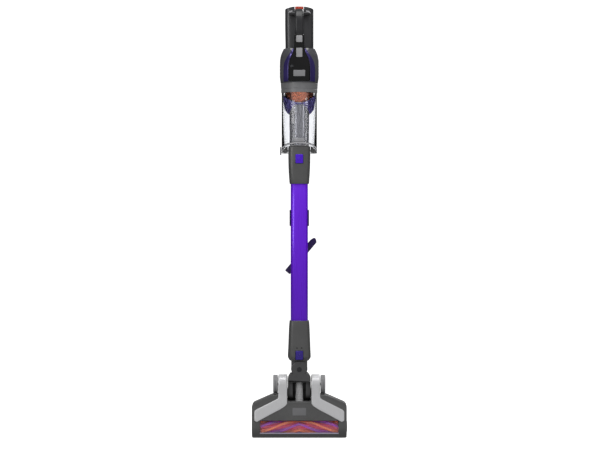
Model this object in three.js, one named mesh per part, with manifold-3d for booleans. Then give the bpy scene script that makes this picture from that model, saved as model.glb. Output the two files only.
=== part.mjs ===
// A cordless stick vacuum: hand unit with bin and battery, wand, swivelling neck and powered floor head.
// It hangs from the wall boss on the hand unit, with the floor head in line with the wand.
// Millimetres. +Z runs up the wand, -Y is the front with the console and the brush window, and +X is
// to the right of a person who faces the front. Heights are counted from the nose of the floor head,
// and the finished group is then set with its origin on the flat face of the wall boss.
import * as THREE from "three";
import { mergeVertices } from "three/addons/utils/BufferGeometryUtils.js";
import Module from "manifold-3d";

const wasm = await Module();
wasm.setup();

// ---- Clearances ----
const GAP = 0.4; // between pieces that touch
const RUN = 0.4; // round a pin or a turning piece
const BIG = 400; // longer than any cut has to be

// ---- Floor head ----
const headWidth = 252;
const casingWall = 3;
const shoulderDrop = 24; // from the level of the shoulders down to the outer corners
const shoulderHalf = 71; // half the width of the level part of the shoulders
const floorY = 32; // plane that the wheels run on
const soleY = floorY - 2;
const soleThick = 3;
const brushRadius = 23.5; // to the bristle tips
const coreRadius = 14;
const brushPlay = 3; // bristle tips to chamber wall
const endWall = 19.5; // side wall with its belt or bearing bay
const windowMargin = 2; // chamber end to window end
const windowBelow = 16.7; // window edges, below and above the roll's axis
const windowAbove = 18.7;
const bristleRows = 4;
const bristleWide = 3.2;
const bristleTwist = 1.9; // radians from the middle to the end of the roll
const shaftRadius = 4;
const motorRadius = 13.5;
const motorLength = 54;
const motorRoomWall = 5; // front wall of the room that the brush motor lies in
const motorGap = 4.5; // from that wall to the motor
const rollPulleyRadius = 9;
const motorPulleyRadius = 6;
const beltThick = 1.6;
const beltWide = 6;
const wheelRadius = 25;
const wheelWidth = 12.5;
const axleRadius = 3;
const boreDepth = 12; // of the wheels' and the neck's bores in the wheel arms
const armInner = 31.5; // half the bay between the wheel arms
const armWidth = 24.5;
const trimThick = 2;
const motorMargin = 9.5; // brush motor to the casing's edge under the neck
const bayDepth = 18; // that edge to the shoulders
const rollerRadius = 5;
const rollerWide = 12;

// ---- Neck ----
const pitchRise = 3; // pitch axis above the shoulders
const yokeArm = 13; // width of one fork arm
const yokeEye = 14; // radius of the fork's eyes
const kneeRise = 64; // pitch axis to swing axis
const drumHalf = 12.5; // half the drum's thickness
const neckHalf = 22; // half the neck's width, and the radius of the knuckle's cheeks
const neckHalfDepth = 22;
const pinRadius = 4;
const hoseRadius = 9;
const stubRadius = 15;
const stubWall = 3;

// ---- Wand ----
const wandWide = 46;
const wandDeep = 39;
const wandWall = 2.2;
const wandShow = 363; // length between the couplers
const socketDepth = 36; // how far the wand enters a coupler
const channelWide = 24;
const channelDeep = 6;
const couplerLower = 106;
const couplerUpper = 90;
const couplerOver = 15; // how much wider a coupler is than the wand
const buttonWide = 20;
const buttonTall = 24;

// ---- Accessory clip on the wand ----
const saddleTall = 43;
const saddleWall = 2.6;
const saddleRise = 251; // top of the lower coupler to the saddle
const barPivotDrop = 86; // saddle's lower edge down to the swivel
const barWide = 17;
const barThick = 9;
const barLong = 68; // swivel to the long end
const barShort = 50;
const barTilt = THREE.MathUtils.degToRad(50);

// ---- Hand unit ----
const bodyProud = 5; // the motor housing stands out past the bin
const binRadius = 47;
const binWall = 2;
const binTall = 157; // measured on the bin's axis
const ductRadius = 26.5;
const ductPlay = 0.5; // duct to the bin's inner wall
const ductWall = 2.5;
const spigotRadius = 21;
const doorSlope = 0.4; // ahead of its axis, the bin's lower end rises towards the front
const doorThick = 3;
const collarTall = 26;
const bodyTall = 56; // straight part of the motor housing
const shoulderTall = 34; // from the straight part to the battery dock
const housingWall = 3;
const dockWide = 76;
const dockDeep = 82;
const dockTall = 103.5; // to the outer ends of its arched top
const dockArch = 7; // rise of the arch
const dockSplit = 9; // plane between dock and battery pack
const gripHalf = 11;
const crossHalf = 28; // half the width of the grip's foot on the dock
const gripReach = 95; // front of the grip, ahead of the wand's axis
const consoleHalf = 28;
const archThick = 1.4;
const archBridge = 8; // height of the strip that joins the two halves of the arch behind the console
const bossWide = 40;
const bossTall = 50;
const bossProud = 7.5;

// ---- Heights and centres worked out from the sizes above ----
const bodyBack = binRadius - binWall - ductPlay - ductRadius; // axis of bin and motor, behind the wand's
const bodyRadius = binRadius + bodyProud;
const chamberRadius = brushRadius + brushPlay;
const noseRadius = chamberRadius + casingWall + 0.5;
const brushY = floorY - brushRadius - 0.5;
const brushZ = noseRadius;
const topY = brushY - noseRadius;
const chamberHalf = headWidth / 2 - endWall;
const windowLow = brushZ - windowBelow;
const windowHigh = brushZ + windowAbove;
const motorZ = brushZ + chamberRadius + motorRadius + 6;
const bayFloor = motorZ + motorRadius + motorMargin; // height of the casing's edge under the neck
const headDepth = bayFloor + bayDepth; // nose to shoulders
const cornerRise = headDepth - shoulderDrop;
const wheelY = floorY - wheelRadius;
const wheelZ = headDepth + wheelRadius + 1;
const armRadius = wheelRadius - 1;
const armTopY = wheelY - armRadius;
const motorY = armTopY + motorRoomWall + motorGap + motorRadius;
const armOuter = armInner + armWidth;
const pitchZ = headDepth + pitchRise;
const pitchY = wheelY;
const yokeOuter = armInner - 1;
const yokeInner = yokeOuter - yokeArm;
const kneeZ = pitchZ + kneeRise;
const couplerWide = wandWide + couplerOver;
const lowerBottom = kneeZ + neckHalf + 1;
const lowerTop = lowerBottom + couplerLower;
const upperBottom = lowerTop + wandShow;
const slantZ = upperBottom + couplerUpper - 5; // height of the bin's lower end on the bin's axis
const binTop = slantZ + binTall;
const collarTop = binTop + GAP + collarTall;
const housingLow = collarTop + GAP;
const housingShoulder = housingLow + bodyTall;
const housingTop = housingShoulder + shoulderTall;
const dockLow = housingTop + GAP;
const dockTop = dockLow + dockTall;
const wallX = chamberHalf; // inner face of the wall beside the belt bay
const bayInner = wallX + casingWall;
const bayOuter = headWidth / 2 - casingWall;
const beltMiddle = (bayInner + bayOuter) / 2;
const beltLow = -beltMiddle - beltWide / 2;
const beltHigh = -beltMiddle + beltWide / 2;
const bossFaceY = bodyBack + bodyRadius + bossProud;
const bossLow = housingLow + 4;
const bossPocketTop = bossLow + bossTall - 22;
const mountZ = (bossPocketTop + bossLow + bossTall) / 2;

// ---- Materials ----
const plastic = (color, roughness = 0.55, metalness = 0) =>
  new THREE.MeshStandardMaterial({ color, roughness, metalness });
const DARK = plastic(0x4a4a4c);
const BLACK = plastic(0x17171a, 0.3);
const SHELL = plastic(0x3c3c42, 0.2);
const GREY = plastic(0x77787a, 0.35);
const SILVER = plastic(0xb9babf, 0.35, 0.4);
const PURPLE = plastic(0x5b1fd0, 0.25, 0.5);
const PLUM = plastic(0x33206a, 0.3);
const COPPER = plastic(0xa5522c, 0.3, 0.7);
const ORANGE = plastic(0xd9552b, 0.8);
const VIOLET = plastic(0x5a2a86, 0.8);
const CRIMSON = plastic(0x8e2340, 0.4);
const RED = plastic(0xb3261a, 0.35);
const RUBBER = plastic(0x2a2a2a, 0.9);
const STEEL = plastic(0xa8a8a8, 0.3, 1);
const CLEAR = plastic(0xe8ecf2, 0.05);
CLEAR.opacity = 0.3;
CLEAR.transparent = true;

// ---- Solids ----
function solidOf(geometry) {
  geometry.deleteAttribute("normal");
  geometry.deleteAttribute("uv");
  const merged = mergeVertices(geometry, 1e-4);
  return new wasm.Manifold(
    new wasm.Mesh({
      numProp: 3,
      vertProperties: merged.attributes.position.array,
      triVerts: new Uint32Array(merged.index.array),
    }),
  );
}

const union = (...solids) => solids.reduce((a, b) => a.add(b));
const cut = (solid, ...tools) => tools.reduce((a, b) => a.subtract(b), solid);
const mirrored = (solid) => solid.mirror([1, 0, 0]);
const withMirror = (solid) => solid.add(mirrored(solid));

function box(x0, x1, y0, y1, z0, z1) {
  const g = new THREE.BoxGeometry(x1 - x0, y1 - y0, z1 - z0);
  return solidOf(g.translate((x0 + x1) / 2, (y0 + y1) / 2, (z0 + z1) / 2));
}

// A cylinder from a to b along one axis, through the point given by its other two coordinates.
function rod(axis, radius, a, b, u, v, sides = 16) {
  const g = new THREE.CylinderGeometry(radius, radius, b - a, sides);
  const middle = (a + b) / 2;
  if (axis === "x") g.rotateZ(-Math.PI / 2).translate(middle, u, v);
  if (axis === "y") g.translate(u, middle, v);
  if (axis === "z") g.rotateX(Math.PI / 2).translate(u, v, middle);
  return solidOf(g);
}

// Outline through corners [x, y, radius], each rounded by a curve that starts one radius away from it.
function outline(corners) {
  const path = new THREE.Shape();
  const n = corners.length;
  corners.forEach(([x, y, r = 0], i) => {
    const [px, py] = corners[(i + n - 1) % n];
    const [qx, qy] = corners[(i + 1) % n];
    const corner = new THREE.Vector2(x, y);
    const toward = (a, b) => new THREE.Vector2(a, b).sub(corner).setLength(r).add(corner);
    const enter = toward(px, py);
    const leave = toward(qx, qy);
    if (i === 0) path.moveTo(enter.x, enter.y);
    else path.lineTo(enter.x, enter.y);
    if (r > 0) path.quadraticCurveTo(x, y, leave.x, leave.y);
  });
  return path;
}

const extruded = (shape, depth, curveSegments) =>
  new THREE.ExtrudeGeometry(shape, { depth, bevelEnabled: false, curveSegments, steps: 1 });

// A front view (X, Z) carried from y0 to y1.
const frontCut = (shape, y0, y1, smooth = 4) =>
  solidOf(extruded(shape, y1 - y0, smooth).rotateX(Math.PI / 2).translate(0, y1, 0));

// A side view (Y, Z) carried from x0 to x1.
function sideCut(shape, x0, x1, smooth = 5) {
  const turn = new THREE.Matrix4().makeBasis(
    new THREE.Vector3(0, 1, 0),
    new THREE.Vector3(0, 0, 1),
    new THREE.Vector3(1, 0, 0),
  );
  return solidOf(extruded(shape, x1 - x0, smooth).applyMatrix4(turn).translate(x0, 0, 0));
}

// A skin through rings of points that all have the same count, closed by a fan at each end.
function loft(rings) {
  const n = rings[0].length;
  const points = rings.flat();
  const middle = (ring) => ring.reduce((s, p) => s.add(p), new THREE.Vector3()).divideScalar(n);
  points.push(middle(rings[0]), middle(rings[rings.length - 1]));
  const faces = [];
  for (let k = 0; k + 1 < rings.length; k++)
    for (let i = 0; i < n; i++) {
      const j = (i + 1) % n;
      const a = k * n;
      const b = a + n;
      faces.push(a + i, a + j, b + j, a + i, b + j, b + i);
    }
  const last = (rings.length - 1) * n;
  for (let i = 0; i < n; i++) {
    const j = (i + 1) % n;
    faces.push(points.length - 2, j, i, points.length - 1, last + i, last + j);
  }
  return solidOf(new THREE.BufferGeometry().setFromPoints(points).setIndex(faces));
}

// A level ring at height z: half width a, half depth b, centred at y. Power 2 is an ellipse, and a
// higher power is a rectangle with softer corners.
function ring(z, a, b, power, y = 0, sides = 20) {
  return Array.from({ length: sides }, (_, i) => {
    const t = (i / sides) * 2 * Math.PI;
    const bend = (v) => Math.sign(v) * Math.abs(v) ** (2 / power);
    return new THREE.Vector3(a * bend(Math.cos(t)), y + b * bend(Math.sin(t)), z);
  });
}

const tubeSection = (z0, z1, a, b, power, y = 0) =>
  loft([ring(z0, a, b, power, y), ring(z1, a, b, power, y)]);

// A turned piece about the axis of bin and motor, from [radius, height] pairs that close on themselves.
function turned(profile, sides = 24) {
  const points = [...profile, profile[0]].map(([r, z]) => new THREE.Vector2(r, z));
  const g = new THREE.LatheGeometry(points, sides);
  return solidOf(g.rotateX(Math.PI / 2).translate(0, bodyBack, 0));
}

// Everything above the bin's lower end, moved by an offset in height: level behind the bin's axis,
// and sloping up towards the front.
function aboveSlant(offset) {
  const low = slantZ + offset;
  const front = low + doorSlope * (bodyBack + BIG);
  const shape = outline([
    [-BIG, front], [bodyBack, low], [BIG, low], [BIG, 4 * BIG], [-BIG, 4 * BIG],
  ]);
  return sideCut(shape, -BIG, BIG);
}

const vacuum = new THREE.Group();

function add(name, solid, material) {
  const made = solid.getMesh();
  const g = new THREE.BufferGeometry();
  g.setAttribute("position", new THREE.BufferAttribute(Float32Array.from(made.vertProperties), 3));
  g.setIndex(new THREE.BufferAttribute(Uint32Array.from(made.triVerts), 1));
  g.computeVertexNormals();
  const mesh = new THREE.Mesh(g, material);
  mesh.name = name;
  vacuum.add(mesh);
  return solid;
}

// ======== Floor head ========

// Front view of the casing, taken in by an inset on every side.
function headOutline(inset) {
  const w = headWidth / 2 - inset;
  return outline([
    [-w, inset, 7], [w, inset, 7], [w, cornerRise - inset / 2, 10],
    [shoulderHalf, headDepth - inset, 4], [-shoulderHalf, headDepth - inset, 4],
    [-w, cornerRise - inset / 2, 10],
  ]);
}

// Side view of the casing: a nose round the brush, then a top that falls a little to the rear.
function headProfile() {
  const p = new THREE.Shape();
  p.moveTo(soleY, 0).lineTo(brushY, 0);
  p.absarc(brushY, brushZ, noseRadius, -Math.PI / 2, -Math.PI, true);
  p.lineTo(armTopY, headDepth).lineTo(soleY, headDepth);
  return p;
}

function wheelArm() {
  const p = new THREE.Shape();
  p.moveTo(wheelY + armRadius, bayFloor - 4).lineTo(wheelY + armRadius, wheelZ);
  p.absarc(wheelY, wheelZ, armRadius, 0, Math.PI, false);
  p.lineTo(armTopY, bayFloor - 4);
  const arm = sideCut(p, armInner, armOuter, 8);
  return arm.subtract(box(armInner - 1, armOuter + 1, soleY, BIG, 0, headDepth - 2));
}

function headCasing() {
  const body = sideCut(headProfile(), -BIG, BIG, 6).intersect(frontCut(headOutline(0), -BIG, BIG));
  const chamber = rod("x", chamberRadius, -chamberHalf, chamberHalf, brushY, brushZ, 20);
  const mouth = box(-chamberHalf, chamberHalf, brushY, BIG, brushZ - chamberRadius, brushZ + chamberRadius);
  const windowX = chamberHalf - windowMargin;
  const windowHole = box(-windowX, windowX, -BIG, brushY - 15, windowLow, windowHigh);
  const rearLow = brushZ + chamberRadius + casingWall;
  const rear = box(-wallX, bayOuter - 4, armTopY + motorRoomWall, BIG, rearLow, bayFloor - casingWall);
  const beltBay = box(-bayOuter, -bayInner, topY + 12, BIG, 11, bayFloor - 6);
  const neckBay = box(-armInner, armInner, -BIG, BIG, bayFloor, BIG);
  const plateBay = frontCut(headOutline(2.4), soleY - soleThick - GAP, BIG);
  const hose = rod("z", hoseRadius + 4, bayFloor - 20, bayFloor + 1, 0, pitchY);
  const bearing = rod("x", shaftRadius + RUN, -bayInner - 1, -wallX + 1, brushY, brushZ);
  const capBore = rod("x", coreRadius + GAP, chamberHalf - 1, headWidth, brushY, brushZ);
  const motorBore = rod("x", shaftRadius + 1, -bayInner - 1, -wallX + 1, motorY, motorZ);
  const shell = cut(body, chamber, mouth, windowHole, rear, beltBay, plateBay, capBore, bearing, motorBore);
  const wheelBore = rod("x", axleRadius + RUN, armOuter - boreDepth, armOuter + 1, wheelY, wheelZ);
  const pitchBore = rod("x", pinRadius + RUN, armInner - 1, armInner + boreDepth - 1, pitchY, pitchZ);
  const arms = withMirror(wheelArm());
  return cut(union(cut(shell, neckBay, hose), arms), withMirror(union(wheelBore, pitchBore)));
}

function rollerAt(x, radius, wide) {
  return rod("x", radius, x - wide / 2, x + wide / 2, floorY - rollerRadius, brushZ + chamberRadius + 8);
}

function solePlate() {
  const plate = frontCut(headOutline(2.4 + GAP), soleY - soleThick, soleY);
  const mouth = box(-chamberHalf + 4, chamberHalf - 4, 0, BIG, brushZ - 20, brushZ + 21);
  const rollerX = chamberHalf - 25;
  const pocket = (x) => rollerAt(x, rollerRadius + 1, rollerWide + 2);
  const bay = box(-armInner - 0.5, armInner + 0.5, 0, BIG, bayFloor - 1, BIG);
  const arms = withMirror(box(armInner - 1, armOuter + GAP, 0, BIG, bayFloor - 4 - GAP, BIG));
  return cut(plate, mouth, pocket(rollerX), pocket(-rollerX), bay, arms);
}

// The silver band that runs down a wheel arm and then out to the front corner, on the right side.
function sideBand() {
  const tip = headWidth / 2 - 7;
  const shape = outline([
    [armInner + 0.5, BIG], [armInner + 0.5, bayFloor - 11, 9], [tip - 7, windowHigh - 2.7, 0],
    [tip, windowHigh - 0.7, 3], [tip, cornerRise - 19, 4], [armOuter - 2, bayFloor + 8, 4],
    [armOuter - 0.5, bayFloor + 18, 4],
    [armOuter - 0.5, BIG],
  ]);
  const low = brushZ;
  const offset = (d) => {
    const p = new THREE.Shape();
    p.moveTo(soleY, low).lineTo(topY - d, low).lineTo(armTopY - d, headDepth).lineTo(armTopY - d, wheelZ);
    p.absarc(wheelY, wheelZ, armRadius + d, Math.PI, 0, true);
    return p;
  };
  const skin = sideCut(offset(GAP + trimThick), 0, BIG, 10).subtract(sideCut(offset(GAP), -1, BIG + 1, 10));
  const back = box(-1, BIG, wheelY - 10, BIG, 0, wheelZ);
  const rear = box(-1, BIG, wheelY + armRadius * 0.7, BIG, 0, BIG);
  return cut(skin.intersect(frontCut(shape, -BIG, BIG)), back, rear);
}

// One chevron row of bristles: a fin that twists away from the middle towards both ends.
function bristleRow(phase) {
  const half = chamberHalf - 4;
  const steps = 12;
  const rings = Array.from({ length: steps + 1 }, (_, i) => {
    const x = -half + (2 * half * i) / steps;
    const turn = phase + bristleTwist * (Math.abs(x) / half);
    const corner = (r, side) => {
      const a = turn + (side * bristleWide) / 2 / r;
      return new THREE.Vector3(x, brushY + r * Math.cos(a), brushZ + r * Math.sin(a));
    };
    const root = coreRadius + 2 * GAP;
    return [corner(root, -1), corner(brushRadius, -1), corner(brushRadius, 1), corner(root, 1)];
  });
  return loft(rings);
}

function beltLoop(play) {
  const from = new THREE.Vector2(brushY, brushZ);
  const to = new THREE.Vector2(motorY, motorZ);
  const lean = Math.atan2(to.y - from.y, to.x - from.x);
  const spread = Math.acos((rollPulleyRadius - motorPulleyRadius) / from.distanceTo(to));
  const p = new THREE.Shape();
  p.absarc(from.x, from.y, rollPulleyRadius + play, lean + spread, lean - spread, false);
  p.absarc(to.x, to.y, motorPulleyRadius + play, lean - spread, lean + spread, false);
  return p;
}

function driveBelt() {
  const inside = sideCut(beltLoop(RUN), beltLow - 1, beltHigh + 1, 6);
  return sideCut(beltLoop(RUN + beltThick), beltLow, beltHigh, 6).subtract(inside);
}

function wheel(side) {
  const inner = armOuter + 1;
  const tread = rod("x", wheelRadius, inner, inner + wheelWidth, wheelY, wheelZ, 24);
  const dish = rod("x", wheelRadius - 6, inner + wheelWidth - 2, inner + wheelWidth + 1, wheelY, wheelZ, 30);
  const hub = rod("x", 8, inner + 1, inner + wheelWidth - 0.5, wheelY, wheelZ);
  const axle = rod("x", axleRadius, armOuter - 11, inner + 1, wheelY, wheelZ);
  const made = union(cut(tread, dish), hub, axle);
  return side < 0 ? mirrored(made) : made;
}

function buildHead() {
  add("head_casing", headCasing(), DARK);
  add("sole_plate", solePlate(), BLACK);
  const x = chamberHalf - windowMargin - GAP;
  const pane = rod("x", noseRadius - 0.4, -x, x, brushY, brushZ, 24);
  const inside = rod("x", chamberRadius + 0.8, -x - 1, x + 1, brushY, brushZ, 24);
  const span = box(-x, x, -BIG, brushY - 15, windowLow + GAP, windowHigh - GAP);
  add("brush_window", cut(pane, inside).intersect(span), CLEAR);

  const core = rod("x", coreRadius, -chamberHalf + 3, chamberHalf - 3, brushY, brushZ);
  const shaft = rod("x", shaftRadius, beltLow, chamberHalf + 4, brushY, brushZ);
  const pulley = rod("x", rollPulleyRadius, beltLow, beltHigh, brushY, brushZ);
  add("brush_core", union(core, shaft, pulley), CRIMSON);
  for (let i = 0; i < bristleRows; i++) {
    const phase = Math.PI + (i * 2 * Math.PI) / bristleRows;
    add(`bristle_row_${i + 1}`, bristleRow(phase), i % 2 ? VIOLET : ORANGE);
  }
  const cap = rod("x", coreRadius, chamberHalf + 1, headWidth / 2 + 1.5, brushY, brushZ);
  const capBore = rod("x", shaftRadius + RUN, chamberHalf, chamberHalf + 6, brushY, brushZ);
  add("brush_end_cap", cut(cap, capBore), BLACK);

  add("brush_motor", rod("x", motorRadius, -wallX + 1, -wallX + 1 + motorLength, motorY, motorZ), STEEL);
  const motorShaft = rod("x", 2.5, beltLow, -wallX + 0.5, motorY, motorZ);
  const small = rod("x", motorPulleyRadius, beltLow, beltHigh, motorY, motorZ);
  add("motor_pulley", union(motorShaft, small), STEEL);
  add("drive_belt", driveBelt(), RUBBER);
  add("side_band_right", sideBand(), SILVER);
  add("side_band_left", mirrored(sideBand()), SILVER);
  add("wheel_right", wheel(1), GREY);
  add("wheel_left", wheel(-1), GREY);
  add("roller_right", rollerAt(chamberHalf - 25, rollerRadius, rollerWide), RUBBER);
  add("roller_left", rollerAt(25 - chamberHalf, rollerRadius, rollerWide), RUBBER);
}

// ======== Neck ========

function neckYoke() {
  const eye = new THREE.Shape();
  eye.absarc(pitchY, pitchZ, yokeEye, Math.PI, 2 * Math.PI, false);
  eye.lineTo(pitchY + yokeEye, pitchZ + 34).lineTo(pitchY - yokeEye, pitchZ + 34);
  const arms = withMirror(sideCut(eye, yokeInner, yokeOuter, 8));
  const block = frontCut(outline([
    [-yokeOuter, pitchZ + 30, 2], [yokeOuter, pitchZ + 30, 2], [yokeOuter, pitchZ + 42, 4],
    [neckHalf, pitchZ + 56, 4], [neckHalf, kneeZ], [-neckHalf, kneeZ], [-neckHalf, pitchZ + 56, 4],
    [-yokeOuter, pitchZ + 42, 4],
  ]), -neckHalfDepth, neckHalfDepth);
  const cheeks = rod("y", neckHalf, -neckHalfDepth, neckHalfDepth, 0, kneeZ, 24);
  const slotHalf = drumHalf + GAP;
  const slot = box(-BIG, BIG, -slotHalf, slotHalf, kneeZ - neckHalf - 0.6, BIG);
  const air = rod("z", hoseRadius + GAP, pitchZ + 20, kneeZ, 0, 0);
  const swingBore = rod("y", pinRadius + RUN, -BIG, BIG, 0, kneeZ);
  const pitchBore = rod("x", pinRadius + RUN, -BIG, BIG, pitchY, pitchZ);
  return cut(union(block, cheeks, arms), slot, air, swingBore, pitchBore);
}

function neckStub() {
  const half = neckHalf - 0.5;
  const drum = rod("y", half, -drumHalf, drumHalf, 0, kneeZ, 24);
  const web = box(-half, half, -drumHalf, drumHalf, kneeZ, lowerBottom - GAP);
  const tube = rod("z", stubRadius, kneeZ, lowerBottom + 48, 0, 0, 24);
  const flats = box(-BIG, BIG, drumHalf, BIG, 0, lowerBottom + 1.5);
  const air = rod("z", stubRadius - stubWall - 2, kneeZ - BIG, BIG * 3, 0, 0);
  const bore = rod("y", pinRadius + RUN, -BIG, BIG, 0, kneeZ);
  return cut(union(drum, web, cut(tube, flats, flats.mirror([0, 1, 0]))), air, bore);
}

// The ribbed hose that carries the air from the head, through the fork, into the knuckle.
function neckHose() {
  const low = bayFloor - 14;
  const high = pitchZ + 44;
  const steps = 5;
  const spare = (t) => Math.max(0, 1 - t / 0.8); // the top fifth stands straight in the fork
  const skin = (inset) => loft(Array.from({ length: steps + 1 }, (_, i) => {
    const t = i / steps;
    const past = inset && (i === 0 || i === steps) ? (i ? 1 : -1) : 0;
    const radius = hoseRadius + 2.5 * spare(t) - inset;
    return ring(low + (high - low) * t + past, radius, radius, 2, pitchY * spare(t), 12);
  }));
  return cut(skin(0), skin(1.6));
}

function buildNeck() {
  add("neck_yoke", neckYoke(), DARK);
  add("neck_stub", neckStub(), GREY);
  add("neck_hose", neckHose(), GREY);
  add("swing_pin", rod("y", pinRadius, -neckHalfDepth + 0.5, neckHalfDepth - 0.5, 0, kneeZ), STEEL);
  const pin = rod("x", pinRadius, yokeInner + 1, armInner + 10, pitchY, pitchZ);
  add("pitch_pin_right", pin, STEEL);
  add("pitch_pin_left", mirrored(pin), STEEL);
}

// ======== Wand ========

const wandShell = (z0, z1, play) => tubeSection(z0, z1, wandWide / 2 + play, wandDeep / 2 + play, 4);

// A release button: a flat pad behind a window in the front of a coupler.
function padAt(z, play, y0, y1) {
  const a = buttonWide / 2 + play;
  const b = buttonTall / 2 + play;
  return frontCut(outline([[-a, z - b, 3], [a, z - b, 3], [a, z + b, 3], [-a, z + b, 3]]), y0, y1, 4);
}

function lowerCoupler() {
  const wide = couplerWide / 2;
  const body = loft([
    ring(lowerBottom, wide - 5.5, 21, 3), ring(lowerBottom + 4, wide - 2.5, 23, 3),
    ring(lowerBottom + 10, wide, 26, 3.5), ring(lowerBottom + 34, wide - 1, 26, 4),
    ring(lowerTop - 12, wandWide / 2 + 4, wandDeep / 2 + 4, 4),
    ring(lowerTop, wandWide / 2 + 2.8, wandDeep / 2 + 2.8, 4),
  ]);
  const stub = rod("z", stubRadius + GAP, 0, lowerBottom + 50, 0, 0, 24);
  const air = rod("z", stubRadius - 2, 0, lowerTop, 0, 0, 24);
  const socket = wandShell(lowerTop - socketDepth - GAP, lowerTop + 1, GAP);
  const hole = padAt(lowerButtonZ, GAP, -BIG, -stubRadius + 1);
  return cut(body, stub, air, socket, hole);
}

function upperCoupler() {
  const wide = couplerWide / 2 - 1;
  const high = slantZ + 40;
  const body = loft([
    ring(upperBottom, wandWide / 2 + 2.8, wandDeep / 2 + 2.8, 4),
    ring(upperBottom + 14, wide - 2.5, 25, 4), ring(upperBottom + 50, wide - 0.6, 26.6, 4),
    ring(high, wide, 27.2, 4),
  ]);
  const socket = wandShell(upperBottom - 1, upperBottom + socketDepth + GAP, GAP);
  const spigot = rod("z", spigotRadius + GAP, upperBottom + socketDepth + 4, high + 1, 0, 0, 24);
  const air = rod("z", spigotRadius - 5, upperBottom, high, 0, 0, 24);
  const hole = padAt(upperButtonZ, GAP, -BIG, -spigotRadius + 4);
  return cut(body, socket, spigot, air, hole, aboveSlant(-doorThick - 1.6));
}

// A C-shaped clip round the wand's sides and back, with a spine that carries the swivelling bar.
function caddySaddle() {
  const low = saddleLow;
  const grip = wandShell(low, low + saddleTall, GAP + saddleWall);
  const room = wandShell(low - 1, low + saddleTall + 1, GAP);
  const channelHalf = channelWide / 2 + GAP;
  const channel = box(-channelHalf, channelHalf, 0, channelBack + GAP, low - 1, low + saddleTall + 1);
  const front = box(-BIG, BIG, -BIG, -wandDeep / 2 + 9, 0, 2 * BIG);
  const back = box(-15, 15, wandDeep / 2 - 2, spineBack, low, low + saddleTall);
  const spine = box(-9, 9, channelBack + GAP, spineBack, barPivotZ - 10, low + 5);
  const bore = rod("y", pinRadius + RUN, channelBack, BIG, 0, barPivotZ);
  return cut(union(cut(union(grip, back), room, channel, front), spine), bore);
}

// The tool bar lies behind the spine and is tilted: its long end points up to the right.
function toolBar() {
  const y0 = spineBack + GAP;
  const shape = outline([
    [-barShort, -barWide / 2, 3], [barLong - 6, -barWide / 2, 2], [barLong, -barWide / 2 + 7, 2],
    [barLong, barWide / 2 - 4, 2], [barLong - 10, barWide / 2, 3], [-barShort, barWide / 2, 3],
  ]);
  const bar = frontCut(shape, y0, y0 + barThick, 4);
  const peg = (x) => rod("y", 6.5, y0 + barThick - 1, y0 + barThick + 8, x, 0, 16);
  const bore = rod("y", pinRadius + RUN, 0, y0 + barThick - 2, 0, 0);
  const made = cut(union(bar, peg(barLong - 18), peg(12 - barShort)), bore);
  return made.rotate([0, -THREE.MathUtils.radToDeg(barTilt), 0]).translate([0, 0, barPivotZ]);
}

const lowerButtonZ = lowerBottom + 15;
const upperButtonZ = upperBottom + 66;
const channelBack = wandDeep / 2 + GAP + channelDeep;
const spineBack = channelBack + 4;
const saddleLow = lowerTop + saddleRise;
const barPivotZ = saddleLow - barPivotDrop;

function buildWand() {
  const low = lowerTop - socketDepth;
  const high = upperBottom + socketDepth;
  const bore = wandShell(low - 1, high + 1, -wandWall);
  add("wand_tube", cut(wandShell(low, high, 0), bore), PURPLE);
  const channel = box(-channelWide / 2, channelWide / 2, 0, channelBack, lowerTop + 1, upperBottom - 1);
  add("cable_channel", cut(channel, wandShell(low, high, GAP)), DARK);
  add("lower_coupler", lowerCoupler(), DARK);
  add("upper_coupler", upperCoupler(), DARK);
  add("lower_release_button", padAt(lowerButtonZ, 0, -27, -stubRadius - 4), PURPLE);
  add("upper_release_button", padAt(upperButtonZ, 0, -28, -spigotRadius - 2.6), PURPLE);
  add("caddy_saddle", caddySaddle(), PLUM);
  add("tool_bar", toolBar(), PLUM);
  add("tool_bar_pin", rod("y", pinRadius, channelBack + GAP, spineBack + barThick - 2, 0, barPivotZ), STEEL);
}

// ======== Hand unit ========

const knuckleRadius = 3.4;
const hingeY = bodyBack + binRadius + knuckleRadius + 0.6;
const hingeZ = slantZ - doorThick / 2;
const notchEnd = 31.2; // rear edge of the door's notch, which swings clear of the coupler

function couplerOutline(play) {
  return tubeSection(slantZ - 60, slantZ + 60, couplerWide / 2 - 1 + play, 27.2 + play, 4);
}

function inletDuct() {
  const tube = rod("z", ductRadius, slantZ - 60, slantZ + 125, 0, 0, 20).intersect(aboveSlant(-doorThick));
  const spigot = rod("z", spigotRadius, upperBottom + socketDepth + 8, slantZ + 20, 0, 0, 24);
  const plate = union(couplerOutline(0), box(-27, 27, 0, notchEnd - 1.8, slantZ - 60, slantZ + 60));
  const flange = plate.intersect(aboveSlant(-doorThick)).subtract(aboveSlant(-GAP));
  const bore = rod("z", spigotRadius - ductWall, 0, slantZ + 120, 0, 0, 24);
  const port = box(-14, 14, 8, BIG, slantZ + 95, slantZ + 118);
  const bin = rod("z", binRadius - binWall - GAP, 0, BIG * 3, 0, bodyBack, 24);
  const insideBin = union(tube.intersect(bin), flange, spigot);
  return cut(insideBin, bore, port);
}

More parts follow.
